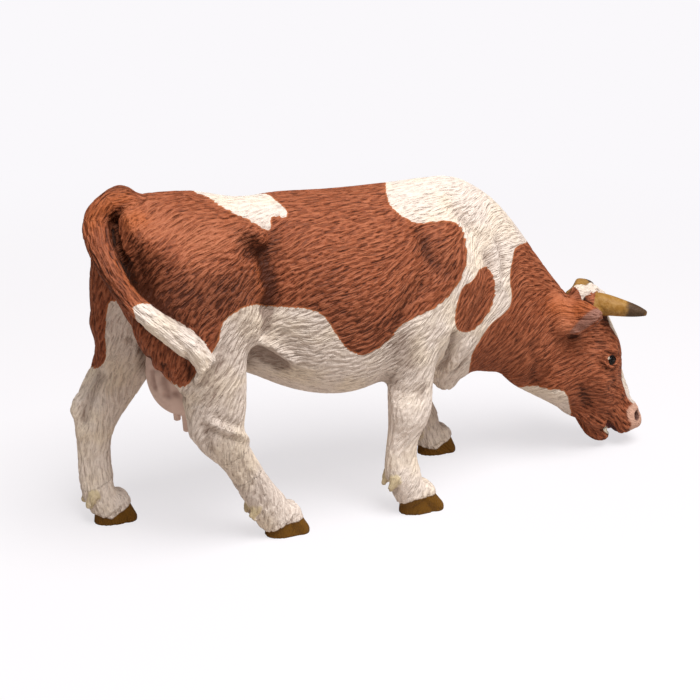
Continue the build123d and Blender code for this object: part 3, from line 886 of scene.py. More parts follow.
@dataclass(frozen=True, kw_only=True)
class Limb(SubAssembly):
    """A leg with its muscles, tendons, dewclaws and hoof."""

    name: str
    sole: tuple[float, float]
    claw_top: tuple[float, float]
    muscles: tuple[Rod, ...]
    brown: Outline = ()
    inner_from_y: float = 0.0
    white_below_z: float = -1.0
    off_hoof: float = -5.0
    inner_fade: float = 4.0
    toe: float = 2.6
    toe_half: float = 1.3
    toe_heights: tuple[float, float] = (0.5, 3.4)
    toe_radius: float = 1.9
    tuft_ahead: float = 1.3
    tuft_half: float = 1.4
    tuft_height: float = 5.0
    tuft_radius: float = 1.6
    pastern_ahead: float = 2.0
    pastern_half: float = 3.5
    pastern_height: float = 8.8
    pastern_radius: float = 2.2
    claw_radius: float = 1.15
    claw_spread: float = 1.8
    claw_back: float = 1.2
    claw_drop: float = 2.2
    claw_edge: float = 0.3
    crown_ahead: tuple[float, ...] = (-7.0, -5.0, -1.6, 3.2)
    crown_height: tuple[float, ...] = (3.3, 2.7, 1.7, 4.7)

    def claws(self) -> tuple[Rod, ...]:
        """The two small claws behind the fetlock.

        Returns:
            One rod per claw.
        """
        x, z = self.claw_top
        sides = [self.sole[1] + side * self.claw_spread for side in (-1, 1)]
        radii = (self.claw_radius, self.claw_radius / 2)
        back, low = x - self.claw_back, z - self.claw_drop
        return alone(*(bump((x, y, z), (back, y, low), radii, 0.7) for y in sides))

    def foot(self) -> tuple[Rod, ...]:
        """The narrow pastern, the cushion of hair over the hoof, and its two toes.

        Returns:
            The rods of one foot.
        """
        x, y = self.sole
        ends = [(x + self.pastern_ahead, y + s * self.pastern_half, self.pastern_height) for s in (-1, 1)]
        pastern = dent(*ends, (self.pastern_radius, self.pastern_radius), 1.0)
        ends = [(x + self.tuft_ahead, y + s * self.tuft_half, self.tuft_height) for s in (-1, 1)]
        tuft = bump(*ends, (self.tuft_radius, self.tuft_radius), 0.8)
        low, top = self.toe_heights
        sides = [y + s * self.toe_half for s in (-1, 1)]
        radii = (self.toe_radius, self.toe_radius)
        toes = (bump((x + self.toe, s, low), (x + self.tuft_ahead, s, top), radii, 0.4) for s in sides)
        return alone(pastern, tuft, *toes)

    def forms(self) -> tuple[Rod, ...]:
        """Rods that shape the volume."""
        return (*self.muscles, *self.claws(), *self.foot())

    def dress(self, coat: "Coat") -> None:
        """Lay the hoof below the fringe of hair, and the pale claws.

        Args:
            coat: The coat to paint.
        """
        points = coat.skin.points
        crown = np.interp(points[:, 0] - self.sole[0], self.crown_ahead, self.crown_height)
        here = coat.skin.points_of(self.name)
        coat.lay("hoof", np.where(here, crown - points[:, 2], self.off_hoof))
        for claw in self.claws():
            coat.lay("claw", self.claw_edge - claw.distance(points))

    def trim(self, coat: "Coat") -> None:
        """Keep the leg's own brown area, and white below it.

        Args:
            coat: The coat to paint.
        """
        here = coat.skin.points_of(self.name)
        if self.brown:
            inner = np.clip((coat.skin.points[:, 1] - self.inner_from_y) / self.inner_fade, 0, 1)
            mixed = (1 - inner) * coat.seen(self.brown) + inner * coat.values["brown"]
            coat.set_brown(here, mixed)
        coat.set_brown(here & (coat.skin.points[:, 2] < self.white_below_z), -MARGIN)


RIGHT_FORELEG = Limb(
    name="right_foreleg",
    sole=(2.3, -13.0),
    claw_top=(-4.5, 9.6),
    muscles=alone(
        bump((1.6, -13.4, 27.6), (1.4, -13.4, 25.0), (2.0, 1.8), 1.8),
        dent((-6.4, -17.0, 6.2), (-6.4, -9.0, 6.2), (2.3, 2.3), 1.0),
    ),
    lines=alone(
        Stroke(((393, 382), (403, 396), (416, 392)), 2.0, -0.45),
        Stroke(((402, 412), (413, 421)), 3.0, 0.5),
        Stroke(((424, 388), (422, 398)), 1.0, -0.5),
        Stroke(((427, 411), (423, 423)), 1.8, 0.45),
        Stroke(((403, 436), (402, 452), (404, 466)), 1.0, -0.35),
    ),
    fur=(Lie(1, 36, 58), Lie(0, 29, 62), Lie(-1, 21, 60), Lie(-2, 13, 66), Lie(0, 6, 76)),
    white_below_z=33.0,
    # A painted highlight down the front of the near foreleg.
    shade_and_highlight_places=alone(Stroke(((405, 410), (404, 440), (403, 475)), 4.0, -0.5)),
    toe=3.5,
    crown_ahead=(-7.0, -5.7, -4.6, -2.7, 3.2),
    crown_height=(1.2, 2.0, 3.2, 4.3, 4.3),
)
LEFT_FORELEG = Limb(
    name="left_foreleg",
    sole=(20.2, 13.0),
    claw_top=(16.2, 7.8),
    muscles=alone(
        bump((13.6, 13.0, 27.0), (14.6, 13.0, 24.0), (2.6, 2.4), 1.8),
        dent((11.5, 9.0, 6.2), (11.5, 17.0, 6.2), (2.3, 2.3), 1.0),
    ),
    fur=(Lie(10, 31, -76), Lie(13, 22, -72), Lie(16, 12, -68), Lie(19, 5, -60)),
    white_below_z=33.0,
)
RIGHT_HIND_LEG = Limb(
    name="right_hind_leg",
    sole=(-29.1, -10.6),
    claw_top=(-36.4, 8.7),
    muscles=alone(
        bump((-50.6, -12.6, 38.0), (-49.0, -13.0, 28.6), (1.4, 1.8), 1.6),
        bump((-44.8, -15.4, 28.6), (-40.6, -14.6, 26.4), (0.6, 0.45), 0.8),
    ),
    lines=alone(
        Stroke(((212, 423), (222, 428), (235, 433), (248, 440)), 0.9, 0.6),
        Stroke(((215, 417), (226, 422), (237, 427)), 0.9, -0.3),
        Stroke(((212, 429), (222, 435), (236, 440)), 0.8, -0.4),
        Stroke(((205, 428), (207, 438), (211, 452)), 1.2, -0.5),
        Stroke(((239, 460), (254, 486), (266, 504)), 1.1, -0.35),
        Stroke(((222, 352), (214, 378), (209, 402)), 2.4, -0.45),
    ),
    fur=(
        Lie(-55, 57, 52), Lie(-48, 56, 50), Lie(-41, 56, 42), Lie(-53, 48, 62), Lie(-46, 48, 60),
        Lie(-39, 49, 56), Lie(-45, 41, 56), Lie(-46, 34, 52), Lie(-43, 28, 74), Lie(-40, 21, -80),
        Lie(-36, 13, 84), Lie(-32, 6, 80),
    ),
    # Painted shade down the near hind leg, from the thigh to the cannon.
    shade_and_highlight_places=alone(
        Stroke(((234, 342), (226, 370), (218, 405)), 6.0, 0.36),
        Stroke(((228, 445), (245, 475), (262, 502)), 4.0, 0.25),
    ),
    toe=3.0,
    crown_ahead=(-7.0, -5.3, -2.0, 3.3),
    crown_height=(0.8, 1.1, 3.2, 3.9),
)
LEFT_HIND_LEG = Limb(
    name="left_hind_leg",
    sole=(-61.4, 10.6),
    claw_top=(-66.4, 7.6),
    muscles=alone(
        bump((-67.0, 12.8, 28.2), (-67.2, 13.0, 26.6), (1.4, 1.6), 1.4),
        bump((-60.8, 10.2, 61.0), (-61.1, 11.6, 46.0), (2.2, 2.1), 2.4),
        bump((-61.1, 11.6, 46.0), (-60.2, 12.6, 37.6), (2.1, 1.8), 2.4),
        dent((-66.6, 12.4, 40.0), (-66.6, 12.4, 36.0), (2.8, 3.0), 1.4),
        dent((-66.6, 12.4, 36.0), (-67.8, 12.6, 32.2), (3.0, 2.4), 1.2),
    ),
    lines=alone(
        Stroke(((100, 376), (91, 398), (84, 420)), 1.5, -0.7),
        Stroke(((103, 402), (97, 416), (94, 428)), 1.8, 0.45),
        Stroke(((74, 411), (79, 424), (81, 436)), 1.0, 0.45),
        Stroke(((86, 440), (87, 462), (90, 484)), 1.0, -0.3),
    ),
    fur=(
        Lie(-60, 46, 78), Lie(-58, 37, 72), Lie(-62, 28, 76), Lie(-65, 19, 76), Lie(-65, 11, 82),
        Lie(-62, 5, -70),
    ),
    brown=(
        (0, 100), (340, 100), (340, 300), (112, 300), (107, 305), (106, 331), (102, 350), (101, 360),
        (96, 366), (0, 366),
    ),
    inner_from_y=9.0,
)
COW: tuple[SubAssembly, ...] = (
    Trunk(),
    Neck(),
    Face(),
    Eyes(),
    Muzzle(),
    Ears(),
    Horns(),
    Tail(),
    Udder(),
    RIGHT_FORELEG,
    LEFT_FORELEG,
    RIGHT_HIND_LEG,
    LEFT_HIND_LEG,
)
JOIN_SOFT = {
    "torso_right_half": 0.0,
    "torso_left_half": 0.0,
    "head": 0.0,
    "right_foreleg": 3.0,
    "left_foreleg": 3.0,
    "right_hind_leg": 3.5,
    "left_hind_leg": 3.5,
    "udder": 1.2,
    "tail": 1.0,
    "lower_jaw": 0.8,
    "right_ear": 1.0,
    "left_ear": 1.0,
    "right_horn": 0.5,
    "left_horn": 0.5,
}


def largest_shell(points: np.ndarray, quads: np.ndarray) -> tuple[np.ndarray, np.ndarray]:
    """Only the largest connected surface, which leaves out the sealed inside of the trunk.

    Args:
        points: Points of all surfaces.
        quads: Their faces.

    Returns:
        Points and faces of that surface.
    """
    group = np.arange(len(points))
    while True:
        roots = group[quads]
        lowest = np.repeat(roots.min(1), 4)
        merged = group.copy()
        np.minimum.at(merged, roots.ravel(), lowest)
        while not np.array_equal(merged, merged[merged]):
            merged = merged[merged]
        if np.array_equal(merged, group):
            break
        group = merged
    names, counts = np.unique(group, return_counts=True)
    keep = group == names[counts.argmax()]
    order = np.cumsum(keep) - 1
    return points[keep], order[quads[keep[quads[:, 0]]]]


def vertex_normals(points: np.ndarray, quads: np.ndarray) -> np.ndarray:
    """Unit normals at the points of a quad mesh.

    Args:
        points: The points.
        quads: The faces.

    Returns:
        One normal per point.
    """
    cross = np.cross(points[quads[:, 2]] - points[quads[:, 0]], points[quads[:, 3]] - points[quads[:, 1]])
    normals = np.stack(
        [np.bincount(quads.ravel(), np.repeat(cross[:, i], 4), len(points)) for i in range(3)], 1
    )
    return normals / np.maximum(np.linalg.norm(normals, axis=1, keepdims=True), 1e-12)


class Skin:
    """The figurine's whole surface, with the CAD piece that each face belongs to."""

    def __init__(self, nodes: dict[str, bpy.types.Object]) -> None:
        """Join the CAD pieces and sculpt them.

        Args:
            nodes: The CAD pieces by name.
        """
        fields = {name: Volume.of_node(nodes[name]) for name in JOIN_SOFT}
        self.volume = Volume.whole()
        for name, soft in JOIN_SOFT.items():
            self.volume.join(fields[name], soft)
        LOG.info("joined %d pieces", len(fields))
        for part in COW:
            for rod in part.forms():
                for each in (rod, rod.mirrored()) if rod.paired else (rod,):
                    each.press_into(self.volume)
        self.points, self.quads = largest_shell(*self.volume.mesh())
        self.normals = vertex_normals(self.points, self.quads)
        self.names = list(JOIN_SOFT)
        self.nearest = np.argmin([fields[name].sample(self.points) for name in self.names], axis=0)
        centres = self.points[self.quads].mean(1)
        self.owner = np.argmin([fields[name].sample(centres) for name in self.names], axis=0)
        for owner, places in ((self.nearest, self.points), (self.owner, centres)):
            haired = Horns().from_tip(places) > Horns().bare_length
            owner[(owner == self.names.index("right_horn")) & haired] = self.names.index("head")
        LOG.info("skin of %d quads", len(self.quads))
        self.displace(sum(stroke.heights(self) for part in COW for stroke in part.relief()))
        LOG.info("drew the relief")

    def points_of(self, *names: str) -> np.ndarray:
        """Which points lie on some of the CAD pieces."""
        return np.isin(self.nearest, [self.names.index(name) for name in names])

    def hollow(self, reach: float) -> np.ndarray:
        """How enclosed each point is, from 0 in the open to 1 in a crease of about the given size."""
        ahead = (self.points + self.normals * reach) / VOXEL - self.volume.low
        return np.clip(1 - lattice_values(self.volume.values, ahead) / reach, 0, 1)

    def averaged(self, values: np.ndarray, rounds: int) -> np.ndarray:
        """Values evened out between neighbouring points, several times over.

        Args:
            values: One value per point.
            rounds: How many times.

        Returns:
            The evened values.
        """
        corners = self.quads.ravel()
        count = np.bincount(corners, minlength=len(values))
        for _ in range(rounds):
            means = np.repeat(values[self.quads].mean(1), 4)
            values = np.bincount(corners, means, len(values)) / count
        return values

    def displace(self, heights: np.ndarray) -> None:
        """Move each point along its normal, but never below the floor.

        Args:
            heights: How far each point moves, in millimetres.
        """
        self.points = self.points + self.normals * heights[:, None]
        self.points[:, 2] = np.maximum(self.points[:, 2], 0.0)
        self.normals = vertex_normals(self.points, self.quads)


@dataclass
class Fur:
    """Engraved strokes that follow the lie of the fur over the skin."""

    skin: Skin
    reach: float = 5.0
    waver_cell: float = 4.0
    waver_degrees: float = 42.0
    cell: float = 0.33
    length: float = 2.4
    even_out: int = 6 if VOXEL < 0.4 else 3
    body_depth: float = 0.13
    head_depth: float = 0.085
    contrast: float = 1.3
    lift: float = 0.35
    steep_below: float = 0.2
    bare_edge: float = 0.4
    bare_slope: float = 2.0
    fringe: float = 0.3
    fringe_wave: float = 0.35
    fringe_edge: float = 0.3
    fringe_fade: float = 1.5
    bare_layers: tuple[str, ...] = ("hoof", "nose", "eye", "dark", "tongue", "teeth")

    def __post_init__(self) -> None:
        """Find the lie of the fur all over the skin."""
        self.random = np.random.default_rng(SEED)
        self.along = self.directions()

    def lattice(self, cell: float) -> np.ndarray:
        """Random values on a lattice over the figurine's box."""
        shape = np.ceil((BOX_HIGH - BOX_LOW) / cell).astype(int) + 2
        return self.random.random(tuple(shape), np.float32)

    def directions(self) -> np.ndarray:
        """Unit vectors along the skin in the direction of the fur.

        Returns:
            One vector per point.
        """
        points, normals = self.skin.points, self.skin.normals
        double = np.zeros((len(points), 2))
        for lie in (lie for part in COW for lie in part.fur):
            gap = (points[:, 0] - lie.x) ** 2 + (points[:, 2] - lie.z) ** 2
            turn = math.radians(2 * lie.slope)
            double += (np.exp(-gap / (2 * self.reach**2)) + 1e-9)[:, None] * (math.cos(turn), math.sin(turn))
        waver = lattice_values(self.lattice(self.waver_cell), (points - BOX_LOW) / self.waver_cell) - 0.5
        slope = np.arctan2(double[:, 1], double[:, 0]) / 2 + math.radians(self.waver_degrees) * waver
        along = np.stack([np.cos(slope), np.zeros(len(points)), np.sin(slope)], 1)
        self.follow_line(along, self.skin.points_of("tail"), np.array(Tail().path))
        for name, sign in (("right_ear", 1), ("left_ear", -1)):
            along[self.skin.points_of(name)] = np.array(Ears().axis) * (1, sign, 1)
        along -= normals * np.sum(along * normals, 1, keepdims=True)
        steep = np.linalg.norm(along, axis=1) < self.steep_below
        along[steep] = np.cross(normals[steep], (0.0, 1.0, 0.0))
        return along / np.maximum(np.linalg.norm(along, axis=1, keepdims=True), 1e-9)

    def follow_line(self, along: np.ndarray, chosen: np.ndarray, line: np.ndarray) -> None:
        """Turn the fur of some points along a line.

        Args:
            along: Directions of all points, changed in place.
            chosen: Which points turn.
            line: Corners of the line.
        """
        middles, runs = (line[1:] + line[:-1]) / 2, line[1:] - line[:-1]
        gap = np.linalg.norm(self.skin.points[chosen][:, None] - middles, axis=2)
        along[chosen] = runs[gap.argmin(1)]

    def strokes(self) -> np.ndarray:
        """Noise drawn out along the fur into strokes between about -1 and 1.

        Returns:
            One height per point.
        """
        lattice = self.lattice(self.cell)
        steps = max(int(round(self.length / self.cell)), 2)
        total = np.zeros(len(self.skin.points))
        for i in range(-steps, steps + 1):
            weight = 0.5 + 0.5 * math.cos(math.pi * i / (steps + 1))
            places = self.skin.points + self.along * (i * self.length / (2 * steps))
            total += weight * lattice_values(lattice, (places - BOX_LOW) / self.cell)
        total = self.skin.averaged(total, 1) - self.skin.averaged(total, self.even_out)
        return np.tanh(self.contrast * total / total.std() + self.lift)

    def engrave(self, coat: "Coat") -> None:
        """Cut the strokes into the furred skin, and let the fringes stand over the hooves.

        Args:
            coat: The coat, which gets its fur values.
        """
        heights = self.strokes()
        bare = np.maximum.reduce([coat.values[name] for name in self.bare_layers])
        bare = np.maximum(bare, np.where(self.skin.points_of("right_horn", "left_horn", "udder"), 1.0, -1.0))
        on_head = self.skin.points_of("head", "lower_jaw", "right_ear", "left_ear")
        cover = np.clip(self.bare_edge - bare * self.bare_slope, 0, 1)
        coat.values["fur"] = heights * cover
        depth = np.where(on_head, self.head_depth, self.body_depth)
        above = -coat.values["hoof"] + self.fringe_wave * heights
        fade = np.exp(-np.clip(above, 0, None) / self.fringe_fade)
        skirt = self.fringe * np.clip(above / self.fringe_edge, 0, 1) * fade
        self.skin.displace(heights * depth * cover + skirt)


def rounded(outline: Outline) -> np.ndarray:
    """A closed outline with its corners cut.

    Args:
        outline: Corners of the outline.

    Returns:
        Twice as many corners.
    """
    corners = np.array(outline, float)
    ahead = np.roll(corners, -1, 0)
    return np.stack([0.75 * corners + 0.25 * ahead, 0.25 * corners + 0.75 * ahead], 1).reshape(-1, 2)


def outline_distance(places: np.ndarray, outline: Outline, margin: float) -> np.ndarray:
    """Signed distance from places in a plane to a closed outline.

    Args:
        places: Points of the plane.
        outline: Corners of the outline.
        margin: How far outside the outline the distance is still measured.

    Returns:
        Distances, positive inside the outline.
    """
    corners = rounded(outline)
    near = np.all((places > corners.min(0) - margin) & (places < corners.max(0) + margin), axis=1)
    spots = places[near]
    nearest = np.full(len(spots), margin**2)
    inside = np.zeros(len(spots), bool)
    for start, end in zip(corners, np.roll(corners, -1, 0)):
        line, away = end - start, spots - start
        share = np.clip(away @ line / max(line @ line, 1e-12), 0, 1)
        nearest = np.minimum(nearest, np.sum((away - share[:, None] * line) ** 2, 1))
        crosses = (start[1] > spots[:, 1]) != (end[1] > spots[:, 1])
        level = np.where(crosses, away[:, 1], 0) / (line[1] if abs(line[1]) > 1e-12 else 1.0)
        inside ^= crosses & (away[:, 0] < level * line[0])
    distance = np.full(len(places), -margin)
    distance[near] = np.where(inside, 1.0, -1.0) * np.sqrt(nearest)
    return distance


class Coat:
    """Where each colour lies on the skin, as values per point that the finishes turn into paint."""

    SEAM_FROM_Y = -0.5
    SEAM_WIDTH = 3.0
    FINE_CREASE = 1.2
    WIDE_CREASE = 3.2
    WIDE_SHARE = 0.85

    def __init__(self, skin: Skin) -> None:
        """Let every part of the cow lay its paint.

        Args:
            skin: The surface to paint.
        """
        self.skin = skin
        self.side_signs = np.where(skin.points[:, 1] > 0, MIRROR[:, None], 1.0).T
        self.folded = skin.points * self.side_signs
        self.pixels, self.folded_pixels = CAMERA.project(skin.points), CAMERA.project(self.folded)
        self.values: dict[str, np.ndarray] = {}
        for part in COW:
            part.dress(self)
        share = np.clip((skin.points[:, 1] - self.SEAM_FROM_Y) / self.SEAM_WIDTH, 0, 1)
        right, left = self.values.pop("brown_right"), self.values.pop("brown_left")
        self.values["brown"] = (1 - share) * right + share * left
        for part in COW:
            part.trim(self)
        # How enclosed each point is; the finishes darken enclosed points as painted shade, partly also real
        # washes of paint in the hollows.
        wide = self.WIDE_SHARE * skin.hollow(self.WIDE_CREASE)
        self.values["hollow"] = np.maximum(skin.hollow(self.FINE_CREASE), wide)
        # Painted shade from the parts' strokes, and painted highlights where the sum is negative.
        self.values["shade"] = sum(stroke.heights(skin) for part in COW for stroke in part.shade_and_highlight_places)
        self.values["glow"] = sum(stroke.heights(skin) for part in COW for stroke in part.orange_places)

    def lay(self, name: str, distance: np.ndarray) -> None:
        """Add an area to a layer, as distances into it in millimetres."""
        self.values[name] = np.maximum(self.values[name], distance) if name in self.values else distance

    def set_brown(self, where: np.ndarray, distance: np.ndarray | float) -> None:
        """Draw the brown anew on some points."""
        self.values["brown"] = np.where(where, distance, self.values["brown"])

    def seen(self, outline: Outline, folded: bool = False) -> np.ndarray:
        """Signed distance in millimetres to an outline in the photograph, on both sides if folded."""
        size = CAMERA.pixel_size()
        return outline_distance(self.folded_pixels if folded else self.pixels, outline, MARGIN / size) * size

    def drawn(self, outline: Outline) -> np.ndarray:
        """Signed distance in millimetres to an outline on the side away from the camera."""
        return outline_distance(self.skin.points[:, [0, 2]], outline, MARGIN)


def linear(colour: Colour) -> tuple[float, float, float, float]:
    """A colour from 0 to 255 as a painter reads it, in the values that a shader uses.

    Args:
        colour: Red, green and blue.

    Returns:
        Red, green, blue and alpha.
    """
    shares = [value / 255 for value in colour]
    mixed = [s / 12.92 if s <= 0.04045 else ((s + 0.055) / 1.055) ** 2.4 for s in shares]
    return (*mixed, 1.0)


class Tap:
    """An output socket of a shader node, for use in expressions."""

    def __init__(self, graph: "Graph", socket: bpy.types.NodeSocket) -> None:
        """Hold a socket of a graph."""
        self.graph, self.socket = graph, socket

    def math(self, operation: str, first: "Tap | float", second: "Tap | float") -> "Tap":
        """A Math node on two values."""
        return self.graph.node("ShaderNodeMath", {"operation": operation}, {0: first, 1: second})

    def __add__(self, other: "Tap | float") -> "Tap":
        """The sum."""
        return self.math("ADD", self, other)

    def __sub__(self, other: "Tap | float") -> "Tap":
        """The difference."""
        return self.math("SUBTRACT", self, other)

    def __rsub__(self, other: "Tap | float") -> "Tap":
        """The difference from a number."""
        return self.math("SUBTRACT", other, self)

    def __mul__(self, other: "Tap | float") -> "Tap":
        """The product."""
        return self.math("MULTIPLY", self, other)

    __radd__, __rmul__ = __add__, __mul__

    def rise(self, low: float, high: float) -> "Tap":
        """A smooth step from 0 at low to 1 at high."""
        inputs = {"Value": self, "From Min": low, "From Max": high}
        return self.graph.node("ShaderNodeMapRange", {"interpolation_type": "SMOOTHSTEP"}, inputs)

    def pick(self, off: "Tap | tuple", on: "Tap | tuple") -> "Tap":
        """A colour that goes from off at 0 to on at 1."""
        return self.graph.node("ShaderNodeMix", {"data_type": "RGBA"}, {0: self, 6: off, 7: on}, output=2)


class Graph:
    """The nodes of one material or world."""

    SPECULAR = 0.2

    def __init__(self, owner: bpy.types.Material | bpy.types.World) -> None:
        """Take the nodes of a new material or world.

        Args:
            owner: The material or world.
        """
        owner.use_nodes = True
        self.owner, self.tree = owner, owner.node_tree
        self.surface = next(node for node in self.tree.nodes if not node.outputs).inputs["Surface"]
        self.shader = self.surface.links[0].from_node

    def node(self, kind: str, settings: dict, inputs: dict, output: int | str = 0) -> Tap:
        """Add a node.

        Args:
            kind: The node's type.
            settings: Its properties, set first.
            inputs: Values or taps for its sockets.
            output: The socket that the tap takes.

        Returns:
            A tap on the node's output.
        """
        made = self.tree.nodes.new(kind)
        for key, value in settings.items():
            setattr(made, key, value)
        for key, value in inputs.items():
            self.feed(made.inputs[key], value)
        return Tap(self, made.outputs[output])

    def feed(self, socket: bpy.types.NodeSocket, value: "Tap | float | tuple") -> None:
        """Give a socket its value or its link.

        Args:
            socket: The input.
            value: A number, a colour or a tap.
        """
        if isinstance(value, Tap):
            self.tree.links.new(value.socket, socket)
        else:
            socket.default_value = value

    def dress(self, colour: Tap, roughness: Tap, normal: Tap) -> bpy.types.Material:
        """Feed the shader and hand over the material.

        Args:
            colour: Base colour.
            roughness: Roughness.
            normal: Normal.

        Returns:
            The finished material.
        """
        for name, tap in (("Base Color", colour), ("Roughness", roughness), ("Normal", normal)):
            self.feed(self.shader.inputs[name], tap)
        self.shader.inputs["Specular IOR Level"].default_value = self.SPECULAR
        return self.owner

    def place(self) -> Tap:
        """The place of the shaded point on its piece."""
        return self.node("ShaderNodeTexCoord", {}, {}, output="Object")

    def value(self, name: str) -> Tap:
        """A value that the skin carries per point."""
        return self.node("ShaderNodeAttribute", {"attribute_name": name}, {}, output="Fac")

    def noise(self, size: float, detail: float = 2.0, vector: Tap | None = None) -> Tap:
        """Cloudy noise with grains of the given size in millimetres."""
        inputs = {"Vector": vector or self.place(), "Scale": 1 / (size * MM), "Detail": detail}
        return self.node("ShaderNodeTexNoise", {}, inputs)

    def strokes(self, size: float, length: float, samples: int = 9) -> Tap:
        """Fine noise drawn out along the fur.

        Args:
            size: Width of a stroke in millimetres.
            length: Length of a stroke in millimetres.
            samples: How many places along the stroke are averaged.

        Returns:
            Values about one half.
        """
        along = self.node("ShaderNodeAttribute", {"attribute_name": "along"}, {}, output="Vector")
        total = 0.0
        for i in range(samples):
            step = (i / (samples - 1) - 0.5) * length * MM
            inputs = {0: along, 1: (step, step, step), 2: self.place()}
            place = self.node("ShaderNodeVectorMath", {"operation": "MULTIPLY_ADD"}, inputs)
            total = total + self.noise(size, 0.0, place)
        return total * (1 / samples)

    def bump(self, height: Tap, depth: float) -> Tap:
        """A normal from a height map, with its depth in millimetres."""
        return self.node("ShaderNodeBump", {}, {"Strength": 1.0, "Distance": depth * MM, "Height": height})


@dataclass(frozen=True)
class Layer:
    """An area of one plain colour, with the width of its edge in millimetres."""

    value: str
    edge: float
    colour: Colour
    roughness: float


@dataclass(frozen=True)
class PaintedCoat:
    """Brown and white paint over engraved fur, darker in the hollows and fur grooves, partly real washes of
    paint and partly painted shade, with painted highlights on the ridges.
    """

    brown: Colour = (150, 80, 50)
    # Painted shade on the brown.
    brown_shade: Colour = (72, 32, 14)
    # Painted highlight on the brown, also used for a cloudy lighter tone.
    highlight_tan: Colour = (194, 120, 86)
    orange: Colour = (186, 98, 44)
    rim: Colour = (206, 126, 70)
    white: Colour = (242, 228, 217)
    cream: Colour = (247, 231, 211)
    # Painted shade on the white, partly also real washes of paint.
    shade_wash: Colour = (156, 136, 124)
    mauve: Colour = (160, 116, 102)
    roughness: float = 0.6
    layers: tuple[Layer, ...] = (
        Layer("nose", 0.3, (218, 172, 150), 0.5),
        Layer("tongue", 0.15, (134, 74, 72), 0.4),
        Layer("dark", 0.25, (84, 46, 44), 0.5),
        Layer("teeth", 0.12, (240, 228, 206), 0.4),
        Layer("claw", 0.3, (222, 204, 168), 0.55),
        Layer("hoof", 0.2, (116, 78, 20), 0.55),
        Layer("eye", 0.06, (14, 12, 12), 0.12),
        # Painted highlight on the eye.
        Layer("glint", 0.08, (240, 228, 212), 0.2),
    )

    def make(self) -> bpy.types.Material:
        """The material.

        Returns:
            The finished material.
        """
        graph = Graph(bpy.data.materials.new("painted_coat"))
        fur, hollow = graph.value("fur"), graph.value("hollow")
        cloud, fine, shade = graph.noise(9.0), graph.strokes(0.32, 1.9), graph.value("shade")
        # Painted shade in the fur's grooves and painted highlight on its ridges, partly real dry-brushed
        # paint.
        groove_shade = fur.rise(0.1, -0.9) * 0.5 + fine.rise(0.5, 0.43) * 0.6
        ridge = fur.rise(0.1, 0.9) * 0.5 + fine.rise(0.5, 0.57) * 0.5
        # Painted shade in hollows and creases, from how enclosed they are and from the parts' shade strokes.
        crease_shade = hollow.rise(0.12, 0.75) * 0.8 + shade

        white = cloud.rise(0.4, 0.7).pick(linear(self.white), linear(self.cream))
        white = (groove_shade * 0.5 + crease_shade * 0.9).pick(white, linear(self.shade_wash))
        # Painted highlight on the brown from the fur's ridges and the negative shade strokes, with a cloudy
        # lighter tone at random.
        lit = ridge * 0.6 + cloud.rise(0.4, 0.75) * 0.15 + shade.rise(0.0, -0.7) * 0.5
        brown = lit.pick(linear(self.brown), linear(self.highlight_tan))
        brown = (graph.value("glow") * 0.8).pick(brown, linear(self.orange))
        # Painted shade on the brown from the grooves and creases.
        brown = (groove_shade * 0.85 + crease_shade * 0.9).pick(brown, linear(self.brown_shade))

        edge = graph.value("brown") + fur * 0.08 + (fine - 0.5) * 0.8 + (cloud - 0.5) * 0.6
        line = edge.rise(-0.12, 0.02) - edge.rise(0.12, 0.4)
        coat = edge.rise(-0.1, 0.1).pick(white, (line * 0.4).pick(brown, linear(self.rim)))
        coat = (graph.value("blaze") + fur * 0.12).rise(-0.15, 0.15).pick(coat, white)
        coat = (graph.value("blush").rise(-0.2, 0.4) * (0.95 - groove_shade * 0.45)).pick(coat, linear(self.mauve))
        roughness = fine * 0.2 + (self.roughness - 0.1)
        for layer in self.layers:
            here = (graph.value(layer.value) + fur * 0.15).rise(-layer.edge, layer.edge)
            coat = here.pick(coat, linear(layer.colour))
            roughness = roughness * (1 - here) + here * layer.roughness
        return graph.dress(coat, roughness, graph.bump(fine, 0.9))


@dataclass(frozen=True)
class PaintedHorn:
    """Ochre horn with a mottled dark band behind the tip."""

    ochre: Colour = (158, 114, 52)
    pale: Colour = (186, 146, 88)
    dark: Colour = (66, 52, 44)
    band: tuple[float, float, float, float] = (0.3, 1.3, 4.6, 6.6)

    def make(self) -> bpy.types.Material:
        """The material.

        Returns:
            The finished material.
        """
        graph = Graph(bpy.data.materials.new("painted_horn"))
        cloud = graph.noise(1.1, 3.0)
        back = graph.value("tip") + (cloud - 0.5) * 2.4
        start, full, fade, end = self.band
        horn = (cloud.rise(0.35, 0.7) * 0.6).pick(linear(self.ochre), linear(self.pale))
        horn = ((back.rise(start, full) - back.rise(fade, end)) * 0.9).pick(horn, linear(self.dark))
        return graph.dress(horn, 0.4 + cloud * 0.2, graph.bump(cloud, 0.3))


@dataclass(frozen=True)
class PaintedUdder:
    """Greyish pink bare skin with painted shade in its creases."""

    pink: Colour = (232, 204, 192)
    shade: Colour = (152, 116, 106)

    def make(self) -> bpy.types.Material:
        """The material.

        Returns:
            The finished material.
        """
        graph = Graph(bpy.data.materials.new("painted_udder"))
        cloud = graph.noise(2.0)
        # Painted shade in the creases and folds, with a cloudy darker tone at random.
        shade = graph.value("hollow").rise(0.15, 0.8) * 0.5 + cloud.rise(0.45, 0.75) * 0.2
        shade = shade + graph.value("shade")
        colour = shade.pick(linear(self.pink), linear(self.shade))
        return graph.dress(colour, 0.5 + cloud * 0.15, graph.bump(cloud, 0.3))


